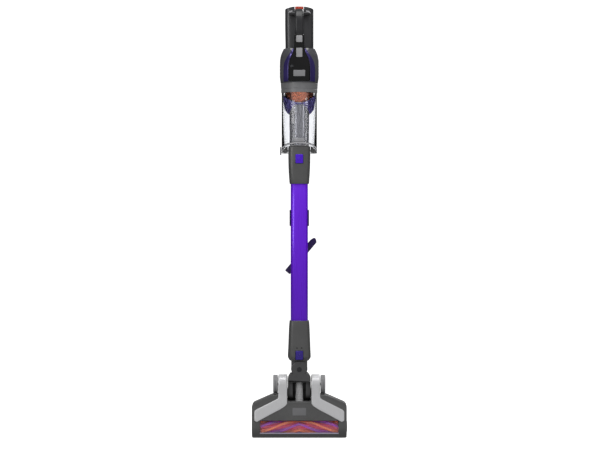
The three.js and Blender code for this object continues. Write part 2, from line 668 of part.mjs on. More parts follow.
function dustBin() {
  const inner = binRadius - binWall;
  const low = slantZ - 60;
  const tube = turned([[inner, low], [binRadius, low], [binRadius, binTop], [inner, binTop]]);
  const wall = tube.intersect(aboveSlant(0));
  const eye = box(13, 18, hingeY - 4, hingeY + 4, hingeZ - 4, slantZ + 1);
  const lug = withMirror(union(eye, box(13, 18, bodyBack + 30, hingeY + 4, slantZ, hingeZ + 12)));
  const inside = rod("z", binRadius - 1, 0, BIG * 3, 0, bodyBack, 24);
  const doorRoom = rod("z", binRadius + 0.3 + GAP, 0, BIG * 3, 0, bodyBack, 24).subtract(aboveSlant(0));
  const bore = rod("x", 2.2, -BIG, BIG, hingeY, hingeZ, 16);
  return cut(union(wall, cut(lug, inside, doorRoom)), bore);
}

function binDoor() {
  const disc = rod("z", binRadius + 0.3, slantZ - 60, slantZ + 60, 0, bodyBack, 24);
  const slab = disc.intersect(aboveSlant(-doorThick)).subtract(aboveSlant(-GAP));
  const side = couplerWide / 2;
  const notch = frontCut(outline([[-side, 0], [side, 0], [side, 2 * BIG], [-side, 2 * BIG]]), -BIG, notchEnd);
  const knuckle = rod("x", knuckleRadius, -12.6, 12.6, hingeY, hingeZ);
  const tab = box(-10, 10, bodyBack + binRadius - 3, hingeY, hingeZ - 1.5, hingeZ + 1.5);
  const lugRoom = withMirror(rod("x", 6.3, 12.6, 18.6, hingeY, hingeZ, 16));
  const bore = rod("x", 2.2, -BIG, BIG, hingeY, hingeZ, 16);
  return cut(union(cut(slab, notch, lugRoom), knuckle, tab), bore);
}

// The housing's skin, moved out by an offset: round, then drawn in to the battery dock's section.
function housingSkin(offset, z0 = housingLow, z1 = housingTop) {
  const centre = dockSplit + 10;
  const rows = [
    [housingLow, bodyRadius - 2, bodyRadius - 2, 2, bodyBack],
    [housingLow + 18, bodyRadius, bodyRadius, 2, bodyBack],
    [housingShoulder, bodyRadius, bodyRadius, 2, bodyBack],
    [housingShoulder + shoulderTall * 0.45, bodyRadius - 2, bodyRadius, 2.2, bodyBack],
    [housingShoulder + shoulderTall * 0.75, bodyRadius - 5.5, bodyRadius - 4, 2.6, bodyBack],
    [housingTop, dockWide / 2 + 4, dockDeep / 2 + 1, 3.6, centre],
  ];
  const rings = rows.map(([z, a, b, p, y]) => ring(z, a + offset, b + offset, p, y, 24));
  return loft(rings).intersect(box(-BIG, BIG, -BIG, BIG, z0, z1));
}

function motorHousing() {
  const hollow = housingSkin(-housingWall, 0, housingTop - housingWall);
  const sink = rod("z", bodyRadius - housingWall - 2, housingLow - 1, housingLow + 1, 0, bodyBack, 24);
  const vents = Array.from({ length: 4 }, (_, i) =>
    box(-BIG, BIG, bodyBack - 14, bodyBack + 14, housingLow + 16 + 9 * i, housingLow + 20 + 9 * i));
  return cut(housingSkin(0), hollow, sink, ...vents);
}

// Front line of the console in side view, from the collar up to the grip.
const consoleLow = housingLow + 2;
const consoleHigh = consoleLow + 118;
const consoleLowY = -38;
const consoleHighY = 3 - gripReach;
const consoleLean = Math.atan2(consoleLowY - consoleHighY, consoleHigh - consoleLow);
const consoleSlope = (consoleHighY - consoleLowY) / (consoleHigh - consoleLow);
const consoleFront = (z) => consoleLowY + (z - consoleLow) * consoleSlope;

// Sets a solid that was made at the origin, facing -Y, on the console's sloping front.
const onConsole = (solid, x, z) =>
  solid.rotate([THREE.MathUtils.radToDeg(consoleLean), 0, 0]).translate([x, consoleFront(z), z]);

function consoleOutline(grow) {
  const a = consoleHalf + grow;
  const b = gripHalf + 2 + grow;
  return outline([
    [-a, consoleLow, 1], [a, consoleLow, 1], [a, consoleLow + 52, 22], [b, consoleLow + 78, 12],
    [b, consoleHigh, 1], [-b, consoleHigh, 1], [-b, consoleLow + 78, 12], [-a, consoleLow + 52, 22],
  ]);
}

const fitted = [
  // name, x, height, half width, half height, stands proud, depth, material
  ["power_button", 0, consoleLow + 106, 8, 9, 1.4, 4, GREY],
  ["speed_button", 0, consoleLow + 72, 8, 12.5, 1.4, 4, GREY],
  ["console_badge", 0, consoleLow + 20, 15.5, 8.5, 0.4, 1.2, SILVER],
  ["indicator_lens", -20, consoleLow + 38, 4, 3, 0.3, 1.2, CLEAR],
];

const pad = (a, b, y0, y1) =>
  frontCut(outline([[-a, -b, 1.5], [a, -b, 1.5], [a, b, 1.5], [-a, b, 1.5]]), y0, y1, 3);

function consoleCover() {
  const thick = 8;
  const p = outline([
    [consoleLowY, consoleLow], [consoleHighY, consoleHigh], [consoleHighY + thick, consoleHigh],
    [consoleFront(consoleLow + 58) + thick, consoleLow + 58], [-20, consoleLow + 50], [0, consoleLow],
  ]);
  const body = sideCut(p, -BIG, BIG).intersect(frontCut(consoleOutline(0), -BIG, BIG));
  const pockets = fitted.map(([, x, z, a, b, , depth]) =>
    onConsole(pad(a + GAP, b + GAP, -10, depth + (depth > 2 ? 2.2 : GAP)), x, z));
  const bridgeRoom = housingSkin(2 * GAP + archThick, 0, consoleLow + archBridge + GAP);
  return cut(body, housingSkin(GAP, 0, BIG * 4), bridgeRoom, ...pockets);
}

function handleFrame() {
  const start = consoleLow + 58;
  const back = 8 + GAP;
  const gap = handleGap;
  const outer = outline([
    [consoleHighY + back, consoleHigh + GAP], [consoleHighY, consoleHigh + GAP],
    [-gripReach, dockTop - 30, 14], [-gripReach + 16, dockTop - 5, 14],
    [-dockFront - GAP, dockTop - 8, 2], [-dockFront - GAP, gap.high], [gap.front, gap.high, 9],
    [gap.front, gap.low + 14, 12], [-36, gap.low, 6], [-30, start - 2],
    [consoleFront(start) + back, start + 2],
  ]);
  const loop = sideCut(outer, -gripHalf, gripHalf);
  const foot = frontCut(outline([
    [-gripHalf, gap.high - 1], [gripHalf, gap.high - 1], [gripHalf, gap.high + 8, 6],
    [crossHalf, gap.high + 9, 3], [crossHalf, gap.high + 16, 3], [-crossHalf, gap.high + 16, 3],
    [-crossHalf, gap.high + 9, 3], [-gripHalf, gap.high + 8, 6],
  ]), -dockFront - GAP - 12, -dockFront - GAP);
  return cut(union(loop, foot), housingSkin(GAP, 0, BIG * 4));
}

const dockFront = dockDeep / 2 - dockSplit - 10 + 0.5;
const handleGap = { low: housingTop + 2, high: dockTop - 26, front: -66 };

// Front view of the dock and the pack: straight sides and an arched top.
function archOutline() {
  const a = dockWide / 2;
  const rise = dockArch;
  const radius = (a * a + rise * rise) / (2 * rise);
  const half = Math.asin(a / radius);
  const p = new THREE.Shape();
  p.moveTo(-a, dockLow).lineTo(a, dockLow).lineTo(a, dockTop);
  p.absarc(0, dockTop + rise - radius, radius, Math.PI / 2 - half, Math.PI / 2 + half, false);
  return p;
}

function latchRoom(play) {
  return box(-11 - play, 11 + play, -BIG, dockSplit + 20 + play, dockTop - 6 - play, BIG * 4);
}

function dockBlock() {
  const section = tubeSection(dockLow, dockTop + 30, dockWide / 2, dockDeep / 2, 6, dockSplit + 10);
  return section.intersect(frontCut(archOutline(), -BIG, BIG, 14));
}

function batteryDock() {
  const block = dockBlock().intersect(box(-BIG, BIG, -BIG, dockSplit, 0, BIG * 4));
  const rail = box(-16, 16, dockSplit - 1, dockSplit + 5, dockLow + 6, dockLow + 76);
  const roomHalf = dockWide / 2 - 7;
  const room = box(-roomHalf, roomHalf, -dockFront + 5, dockSplit - 5, dockLow - 1, dockTop - 14);
  return cut(union(block, rail), room, latchRoom(GAP));
}

function batteryPack() {
  const block = dockBlock().intersect(box(-BIG, BIG, dockSplit + GAP, BIG, 0, BIG * 4));
  const groove = box(-16 - GAP, 16 + GAP, 0, dockSplit + 5 + GAP, 0, dockLow + 76 + GAP);
  return cut(block, groove, latchRoom(GAP));
}

function archBand() {
  const inner = consoleOutline(1);
  const above = box(-BIG, BIG, -BIG, BIG, consoleLow + archBridge, BIG * 4);
  const a = consoleHalf + 14;
  const outer = outline([
    [-a, consoleLow, 1], [a, consoleLow, 1], [a, consoleLow + 56, 26], [gripHalf + 6, consoleLow + 88, 8],
    [-gripHalf - 6, consoleLow + 88, 8], [-a, consoleLow + 56, 26],
  ]);
  const skin = housingSkin(GAP + archThick, 0, BIG * 4).subtract(housingSkin(GAP, 0, BIG * 4));
  const band = frontCut(outer, -BIG, bodyBack - 8).subtract(frontCut(inner, -BIG * 2, BIG).intersect(above));
  const gripRoom = gripHalf + GAP + 3;
  return skin.intersect(band).subtract(box(-gripRoom, gripRoom, -BIG, -30, housingTop - 20, BIG * 4));
}

function impeller() {
  const z = housingLow + 5;
  const hub = turned([[0, z], [30, z], [30, z + 1.5], [8, z + 8], [0, z + 8]], 30);
  const blade = box(7, 29, bodyBack - 0.7, bodyBack + 0.7, z, z + 7);
  const blades = Array.from({ length: 9 }, (_, i) =>
    blade.translate([0, -bodyBack, 0]).rotate([0, 0, 40 * i]).translate([0, bodyBack, 0]));
  return union(hub, ...blades);
}

function pleatedFilter() {
  const pleats = 16;
  const points = Array.from({ length: 2 * pleats }, (_, i) => {
    const t = (i / (2 * pleats)) * 2 * Math.PI;
    const r = i % 2 ? 36.5 : 29;
    return new THREE.Vector2(r * Math.cos(t), r * Math.sin(t));
  });
  const g = extruded(new THREE.Shape(points), collarTall - 4, 1);
  return solidOf(g.translate(0, bodyBack, binTop + GAP + 2));
}

function wallBoss() {
  const y0 = bodyBack + bodyRadius - 8;
  const block = frontCut(outline([
    [-bossWide / 2, bossLow, 3], [bossWide / 2, bossLow, 3], [bossWide / 2, bossLow + bossTall, 6],
    [-bossWide / 2, bossLow + bossTall, 6],
  ]), y0, bossFaceY);
  const wide = box(-12, 12, bossFaceY - 5.9, bossFaceY - 2.4, 0, bossPocketTop);
  const slot = box(-7, 7, bossFaceY - 2.5, BIG, 0, bossPocketTop);
  return cut(block, housingSkin(GAP), wide, slot);
}

function buildHand() {
  add("inlet_duct", inletDuct(), GREY);
  add("dust_bin", dustBin(), CLEAR);
  add("bin_door", binDoor(), CLEAR);
  add("door_pin", rod("x", 1.8, -17, 17, hingeY, hingeZ, 16), STEEL);
  const latchX = -binRadius - 0.8;
  const latchZ = slantZ - 8;
  add("door_latch", box(latchX - 3.7, latchX, bodyBack - 7, bodyBack + 7, latchZ, latchZ + 22), DARK);
  const catchFront = bodyBack - binRadius;
  const catchFace = rod("z", binRadius + 2.6, slantZ + 26, slantZ + 36, 0, bodyBack, 28);
  const catchBack = rod("z", binRadius + GAP, 0, BIG * 3, 0, bodyBack, 28);
  const catchSpan = box(-12, 12, catchFront - 5, catchFront + 5, 0, BIG * 3);
  add("bin_catch", cut(catchFace, catchBack).intersect(catchSpan), GREY);
  const c = binTop + GAP;
  const d = c + collarTall;
  add("collar_ring", turned([[38, c], [bodyRadius - 4, c], [bodyRadius - 2.4, d], [38, d]]), GREY);
  const m0 = binTop - 27;
  const m1 = binTop - 0.2;
  add("cyclone_mesh", turned([[30, m0], [32, m0], [40, m1], [37.5, m1]]), COPPER);
  const s0 = binTop - 62;
  const s1 = binTop - 28;
  const skirt = turned([[27, s0], [30, s0], [43, s0 + 18], [43, s1], [30, s1]]);
  add("cyclone_skirt", cut(skirt, rod("z", ductRadius + GAP, 0, BIG * 4, 0, 0, 20)), PLUM);
  add("pleated_filter", pleatedFilter(), plastic(0xd8d8d2, 0.9));
  add("motor_housing", motorHousing(), SHELL);
  add("fan_impeller", impeller(), GREY);
  const m = housingLow + 15;
  add("suction_motor", turned([[0, m], [31, m], [31, m + 46], [0, m + 46]]), STEEL);
  const seat = [31 + GAP, bodyRadius - 7.6];
  const mount = [[seat[0], m + 14], [seat[1], m + 14], [seat[1], m + 22], [seat[0], m + 22]];
  add("motor_mount", turned(mount), RUBBER);
  add("side_arch", archBand(), PLUM);
  add("console_cover", consoleCover(), BLACK);
  for (const [name, x, z, a, b, proud, depth, material] of fitted)
    add(name, onConsole(pad(a, b, -proud, depth), x, z), material);
  add("handle_frame", handleFrame(), BLACK);
  const g = handleGap;
  const y = g.front + GAP;
  const gripPad = outline([
    [y, g.low + 22, 1], [y, g.high - 14, 1], [y + 2.2, g.high - 16, 1], [y + 2.2, g.low + 24, 1],
  ]);
  add("grip_pad", sideCut(gripPad, -gripHalf + 1.5, gripHalf - 1.5, 3), RUBBER);
  add("battery_dock", batteryDock(), DARK);
  add("battery_pack", batteryPack(), DARK);
  const latchSpan = box(-BIG, BIG, -dockFront + 2, BIG, dockTop - 1.4, dockTop + dockArch + 0.8);
  add("battery_latch", latchRoom(0).intersect(latchSpan), RED);
  const boardY = -dockFront + 10;
  add("control_board", box(-24, 24, boardY, boardY + 2, dockLow + 4, dockTop - 20), plastic(0x1c5a34));
  add("wall_boss", wallBoss(), DARK);
}

buildHead();
buildNeck();
buildWand();
buildHand();
vacuum.position.set(0, -bossFaceY, -mountZ);
const part = new THREE.Group();
part.add(vacuum);
export default part;
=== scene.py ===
"""Looks of a cordless stick vacuum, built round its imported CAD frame.

The vacuum hangs from the wall boss on its hand unit, with the floor head in line with the wand. Shapes are
surfaces worked out with numpy in millimetres, counted from the nose of the floor head on the wand's axis:
+Z runs up the wand, -Y is the front with the console and the brush window, and +X is to the right.
"""

import logging
import math
from dataclasses import dataclass, field
from enum import Enum
from typing import Callable, Sequence

import bpy
import numpy as np
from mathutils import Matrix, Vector


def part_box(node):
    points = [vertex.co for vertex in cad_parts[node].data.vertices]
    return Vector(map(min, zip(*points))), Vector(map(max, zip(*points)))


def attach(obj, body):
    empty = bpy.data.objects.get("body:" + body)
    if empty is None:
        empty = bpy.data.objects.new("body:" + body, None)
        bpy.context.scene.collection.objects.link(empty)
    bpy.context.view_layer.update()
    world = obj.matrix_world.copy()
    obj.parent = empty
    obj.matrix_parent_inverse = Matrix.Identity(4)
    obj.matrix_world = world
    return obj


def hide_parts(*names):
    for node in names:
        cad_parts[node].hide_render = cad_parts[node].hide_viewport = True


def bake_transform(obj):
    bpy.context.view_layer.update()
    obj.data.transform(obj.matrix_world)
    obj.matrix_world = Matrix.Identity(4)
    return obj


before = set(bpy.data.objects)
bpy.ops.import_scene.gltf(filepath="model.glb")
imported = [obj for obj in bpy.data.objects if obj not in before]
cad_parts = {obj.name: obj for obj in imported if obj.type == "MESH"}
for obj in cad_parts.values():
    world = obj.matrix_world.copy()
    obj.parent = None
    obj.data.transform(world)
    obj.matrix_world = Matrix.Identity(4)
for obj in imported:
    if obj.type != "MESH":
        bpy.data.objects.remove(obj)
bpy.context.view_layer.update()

LOG = logging.getLogger("stick_vacuum")
Array = np.ndarray
TAU = 2.0 * math.pi


# ---------------------------------------------------------------- places in the frame


class Site:
    """Turns millimetres from the nose of the head on the wand's axis into metres of the frame."""

    def __init__(self) -> None:
        """Reads the nose and the wand's axis from the frame."""
        low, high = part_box("wand_tube")
        self.origin = np.array([0.0, (low.y + high.y) / 2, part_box("head_casing")[0].z])

    def metres(self, points: Array) -> Array:
        """Returns points in metres of the frame."""
        return np.asarray(points, float) / 1000.0 + self.origin


SITE = Site()


class Facing(Enum):
    """The plane that an outline is drawn in, and the way that its depth runs."""

    FRONT = "x and z, with depth along y"
    SIDE = "y and z, with depth along x"
    TOP = "x and y, with depth along z"

    def lift(self, outline: Array, depth: Array | float) -> Array:
        """Puts a flat outline at a depth.

        Args:
            outline: points as rows of two numbers.
            depth: one depth, or one for each point.

        Returns:
            The points as rows of x, y and z.
        """
        u, v = outline[..., 0], outline[..., 1]
        d = np.broadcast_to(depth, u.shape)
        order = {Facing.FRONT: (u, d, v), Facing.SIDE: (d, u, v), Facing.TOP: (u, v, d)}[self]
        return np.stack(order, axis=-1)


# ---------------------------------------------------------------- closed shells


@dataclass
class Shell:
    """A closed surface: its points, its four-sided faces and its flat end faces."""

    points: Array
    quads: Array
    caps: list[Array] = field(default_factory=list)

    def volume(self) -> float:
        """Returns six times the volume, by the divergence theorem over a fan of each face."""
        p = self.points
        a, b, c, d = (p[self.quads[:, i]] for i in range(4))
        total = np.einsum("ij,ij->", a, np.cross(b, c)) + np.einsum("ij,ij->", a, np.cross(c, d))
        for cap in self.caps:
            q = p[cap]
            total += np.einsum("ij,ij->", np.broadcast_to(q[0], q[1:-1].shape), np.cross(q[1:-1], q[2:]))
        return float(total)

    def outward(self) -> "Shell":
        """Returns the shell with its faces turned outwards."""
        if self.volume() >= 0:
            return self
        return Shell(self.points, self.quads[:, ::-1], [cap[::-1] for cap in self.caps])

    def mirrored(self) -> "Shell":
        """Returns the shell's mirror image in x, with its faces outwards."""
        return Shell(self.points * np.array([-1.0, 1.0, 1.0]), self.quads, self.caps).outward()

    def turned(self, axis: int, angle: float, centre: Sequence[float] = (0.0, 0.0, 0.0)) -> "Shell":
        """Turns the shell by the right-hand rule.

        Args:
            axis: 0, 1 or 2 for x, y or z.
            angle: radians.
            centre: a point on the axis.

        Returns:
            The turned shell.
        """
        i, j = (axis + 1) % 3, (axis + 2) % 3
        p = self.points - np.asarray(centre, float)
        q = p.copy()
        q[:, i] = p[:, i] * math.cos(angle) - p[:, j] * math.sin(angle)
        q[:, j] = p[:, i] * math.sin(angle) + p[:, j] * math.cos(angle)
        return Shell(q + np.asarray(centre, float), self.quads, self.caps)

    def moved(self, x: float = 0.0, y: float = 0.0, z: float = 0.0) -> "Shell":
        """Returns the shell moved by x, y and z."""
        return Shell(self.points + np.array([x, y, z]), self.quads, self.caps)


def both_sides(*shells: Shell) -> list[Shell]:
    """Returns the shells and their mirror images in x."""
    return [side for shell in shells for side in (shell, shell.mirrored())]


def tower(rings: Array, ring_like: bool = False) -> Shell:
    """Joins a stack of rings that all have the same count of points.

    Formula: face (k, i) spans points i and i + 1 of rings k and k + 1, counted round each ring.

    Args:
        rings: array of rings by points by 3.
        ring_like: joins the last ring to the first, as in a torus, in place of two flat ends.

    Returns:
        The closed shell.
    """
    count, sides, _ = rings.shape
    k = np.arange(count if ring_like else count - 1)[:, None]
    i = np.arange(sides)[None, :]
    up, on = (k + 1) % count, (i + 1) % sides
    quads = np.stack([k * sides + i, k * sides + on, up * sides + on, up * sides + i], axis=-1).reshape(-1, 4)
    caps = [] if ring_like else [np.arange(sides)[::-1], (count - 1) * sides + np.arange(sides)]
    return Shell(rings.reshape(-1, 3), quads, caps).outward()


def sheet(outer: Array, inner: Array) -> Shell:
    """Closes two matching grids into one thin body.

    Formula: the outer grid's faces, the inner grid's faces turned round, and a strip along the rim.

    Args:
        outer: grid of rows by columns by 3.
        inner: grid of the same size, one thickness away.

    Returns:
        The closed shell.
    """
    rows, cols, _ = outer.shape
    index = np.arange(rows * cols).reshape(rows, cols)
    face = np.stack([index[:-1, :-1], index[:-1, 1:], index[1:, 1:], index[1:, :-1]], axis=-1).reshape(-1, 4)
    rim = np.concatenate([index[0, :-1], index[:-1, -1], index[-1, :0:-1], index[:0:-1, 0]])
    on = np.roll(rim, -1)
    size = rows * cols
    strip = np.stack([on, rim, rim + size, on + size], axis=-1)
    quads = np.concatenate([face, face[:, ::-1] + size, strip])
    return Shell(np.concatenate([outer.reshape(-1, 3), inner.reshape(-1, 3)]), quads).outward()


def rounded(corners: Sequence[tuple[float, float, float]] | Array, steps: int = 8) -> Array:
    """Draws a closed outline with rounded corners.

    Formula: each corner is a quadratic curve that starts and ends one radius away from it.

    Args:
        corners: x, y and radius of each corner, in order round the outline.
        steps: pieces in each curve.

    Returns:
        The outline as rows of two numbers.
    """
    table = np.asarray(corners, float)
    spot, radius = table[:, :2], table[:, 2:]
    t = np.linspace(0.0, 1.0, steps + 1)[None, :, None]

    def toward(other: Array) -> Array:
        """Returns the points one radius away from the corners, towards other."""
        way = other - spot
        return spot + way / np.linalg.norm(way, axis=1, keepdims=True) * np.maximum(radius, 1e-3)

    enter, leave = toward(np.roll(spot, 1, 0)), toward(np.roll(spot, -1, 0))
    curve = (1 - t) ** 2 * enter[:, None] + 2 * t * (1 - t) * spot[:, None] + t**2 * leave[:, None]
    return curve.reshape(-1, 2)


def inset(outline: Array, distance: float) -> Array:
    """Moves a closed outline inwards.

    Formula: each point moves along the mitre of its two edges' normals by the distance over the cosine of
    half the turn between them.

    Args:
        outline: rows of two numbers.
        distance: how far in, or out where it is negative.

    Returns:
        The moved outline.
    """
    edge = np.roll(outline, -1, 0) - outline
    edge /= np.maximum(np.linalg.norm(edge, axis=1, keepdims=True), 1e-9)
    normal = np.stack([-edge[:, 1], edge[:, 0]], axis=1)
    before = np.roll(normal, 1, 0)
    mitre = normal + before
    mitre /= np.maximum(np.einsum("ij,ij->i", mitre, normal)[:, None], 0.5)
    x, y = outline[:, 0], outline[:, 1]
    turn = np.sign(np.sum(x * np.roll(y, -1) - y * np.roll(x, -1)))
    return outline + mitre * distance * turn


@dataclass(frozen=True)
class Outline:
    """A closed outline given by its corners, which stays clean however far it is drawn in."""

    corners: Sequence[tuple[float, float, float]]
    steps: int = 8

    def ring(self, distance: float = 0.0) -> Array:
        """Draws the outline moved inwards.

        Formula: the corners move along their mitres; an outward corner's radius shrinks by the distance,
        and an inward corner's grows by it.

        Args:
            distance: how far in, or out where it is negative.

        Returns:
            The outline as rows of two numbers.
        """
        table = np.asarray(self.corners, float)
        spot, on = table[:, :2], np.roll(table[:, :2], -1, 0)
        before, after = spot - np.roll(spot, 1, 0), on - spot
        turn = before[:, 0] * after[:, 1] - before[:, 1] * after[:, 0]
        way = np.sign(np.sum(spot[:, 0] * on[:, 1] - on[:, 0] * spot[:, 1]))
        radius = np.maximum(table[:, 2] - distance * np.sign(turn) * way, 1e-3)
        return rounded(np.column_stack([inset(spot, distance), radius]), self.steps)


def ring_of(outline: Outline | Array, distance: float) -> Array:
    """Returns an outline, given either way, moved inwards by a distance."""
    return outline.ring(distance) if isinstance(outline, Outline) else inset(outline, distance)


def slab(outline: Outline | Array, low: float, high: float, facing: Facing, edge: float = 1.0,
        back: float | None = None,
        steps: int = 5) -> Shell:
    """Gives an outline a depth, with rounded edges.

    Formula: at angle a of a quarter turn, the ring lies edge * (1 - sin a) inside the outline, and
    edge * (1 - cos a) away from the end face.

    Args:
        outline: closed outline.
        low: depth of the first end face.
        high: depth of the last end face.
        facing: the outline's plane.
        edge: radius of the edge at the first end.
        back: radius of the edge at the last end, the same where it is None.
        steps: rings in each rounded edge.

    Returns:
        The closed shell.
    """
    back = edge if back is None else back
    a = np.linspace(0.0, math.pi / 2, steps)
    inward = np.concatenate([edge * (1 - np.sin(a)), (back * (1 - np.sin(a)))[::-1]])
    depth = np.concatenate([low + edge * (1 - np.cos(a)), (high - back * (1 - np.cos(a)))[::-1]])
    rings = [facing.lift(ring_of(outline, float(d)), float(z)) for d, z in zip(inward, depth)]
    return tower(np.stack(rings))


def frame_slab(outer: Outline, inner: Outline, low: float, high: float, facing: Facing,
        edge: float = 0.6) -> Shell:
    """Gives depth to the band between two outlines that have the same count of points.

    Formula: a four-cornered section with cut corners, carried round the two outlines as a torus.

    Args:
        outer: outline outside.
        inner: outline of the hole.
        low: first depth.
        high: last depth.
        facing: the outlines' plane.
        edge: size of the cut corners.

    Returns:
        The closed shell.
    """
    e = edge
    loops = [(outer.ring(e), low), (outer.ring(), low + e), (outer.ring(), high - e), (outer.ring(e), high),
        (inner.ring(-e), high), (inner.ring(), high - e), (inner.ring(), low + e), (inner.ring(-e), low)]
    return tower(np.stack([facing.lift(loop, depth) for loop, depth in loops]), ring_like=True)


def super_ring(a: Array | float, b: Array | float, power: Array | float, sides: int = 96) -> Array:
    """Draws rounded oblongs.

    Formula: x is a times the signed cosine to the power 2 / power, y is b times the signed sine likewise.

    Args:
        a: half width, one or several.
        b: half depth, one or several.
        power: 2 for an ellipse, more for squarer corners.
        sides: points in a ring.

    Returns:
        Array of rings by points by 2.
    """
    a, b, power = (np.atleast_1d(np.asarray(v, float))[:, None] for v in (a, b, power))
    t = np.linspace(0.0, TAU, sides, endpoint=False)[None, :]
    cos, sin = np.cos(t), np.sin(t)
    x = a * np.sign(cos) * np.abs(cos) ** (2.0 / power)
    y = b * np.sign(sin) * np.abs(sin) ** (2.0 / power)
    return np.stack(np.broadcast_arrays(x, y), axis=-1)


def smooth_rows(rows: Sequence[Sequence[float]], count: int) -> Array:
    """Passes a smooth curve through rows of numbers whose first column rises.

    Formula: a cubic Hermite curve in the first column, with slopes from the neighbouring rows that are set
    to nothing at a peak or a level stretch, so that it never overshoots.

    Args:
        rows: the rows to pass through.
        count: how many rows to return.

    Returns:
        The rows, evenly spaced in the first column.
    """
    table = np.asarray(rows, float)
    x = table[:, 0]
    step = np.diff(x)[:, None]
    rise = np.diff(table, axis=0) / step
    slope = np.zeros_like(table)
    same = rise[:-1] * rise[1:] > 0
    slope[1:-1] = np.where(same, 2 * rise[:-1] * rise[1:] / np.where(same, rise[:-1] + rise[1:], 1), 0)
    slope[0], slope[-1] = rise[0], rise[-1]
    at = np.linspace(x[0], x[-1], count)
    k = np.clip(np.searchsorted(x, at, side="right") - 1, 0, len(x) - 2)
    h = (x[k + 1] - x[k])[:, None]
    t = ((at - x[k]) / h[:, 0])[:, None]
    return ((2 * t**3 - 3 * t**2 + 1) * table[k] + (t**3 - 2 * t**2 + t) * h * slope[k]
        + (3 * t**2 - 2 * t**3) * table[k + 1] + (t**3 - t**2) * h * slope[k + 1])


def stack(rows: Array, sides: int = 96, lift: Callable[[Array], Array] | None = None) -> Shell:
    """Builds a body from level oblong sections.

    Formula: each row of height, half width, half depth, power and centre y is one superellipse ring.

    Args:
        rows: array of sections by 5.
        sides: points in a ring.
        lift: changes the array of rings before they are joined.

    Returns:
        The closed shell.
    """
    flat = super_ring(rows[:, 1], rows[:, 2], rows[:, 3], sides)
    rings = np.stack([flat[..., 0], flat[..., 1] + rows[:, 4:5],
        np.broadcast_to(rows[:, :1], flat.shape[:2])], -1)
    return tower(rings if lift is None else lift(rings))


def revolve(profile: Sequence[tuple[float, float]], axis: int, centre: Sequence[float], sides: int = 96,
        ring_like: bool = False) -> Shell:
    """Turns a profile round an axis.

    Formula: point (radius, height) becomes height along the axis, and radius times cosine and sine of the
    angle across it.

    Args:
        profile: radius and height of each point.
        axis: 0, 1 or 2 for x, y or z.
        centre: the point that heights are counted from.
        sides: points in a ring.
        ring_like: joins the profile's end to its start.

    Returns:
        The closed shell.
    """
    r, h = np.asarray(profile, float).T
    t = np.linspace(0.0, TAU, sides, endpoint=False)
    rings = np.zeros((len(r), sides, 3))
    rings[..., axis] = h[:, None]
    rings[..., (axis + 1) % 3] = r[:, None] * np.cos(t)
    rings[..., (axis + 2) % 3] = r[:, None] * np.sin(t)
    return tower(rings + np.asarray(centre, float), ring_like)


def disc_profile(radius: float, low: float, high: float, edge: float,
        steps: int = 5) -> list[tuple[float, float]]:
    """Gives the profile of a disc with rounded edges.

    Args:
        radius: outer radius.
        low: first face.
        high: last face.
        edge: radius of the edges.
        steps: points in each edge.

    Returns:
        Radius and height of each point, from the middle of one face to the middle of the other.
    """
    a = np.linspace(0.0, math.pi / 2, steps)
    r = radius - edge + edge * np.sin(a)
    drop = edge * (1 - np.cos(a))
    rim = list(zip(r, low + drop)) + list(zip(r[::-1], (high - drop)[::-1]))
    return [(radius * 0.02, low)] + rim + [(radius * 0.02, high)]


# ---------------------------------------------------------------- finishes


def linear(code: int) -> tuple[float, float, float, float]:
    """Returns a screen colour, such as 0x40C0FF, as linear red, green, blue and alpha."""
    parts = np.array([(code >> 16) & 255, (code >> 8) & 255, code & 255]) / 255.0
    low = parts <= 0.04045
    mapped = np.where(low, parts / 12.92, ((parts + 0.055) / 1.055) ** 2.4)
    return (float(mapped[0]), float(mapped[1]), float(mapped[2]), 1.0)


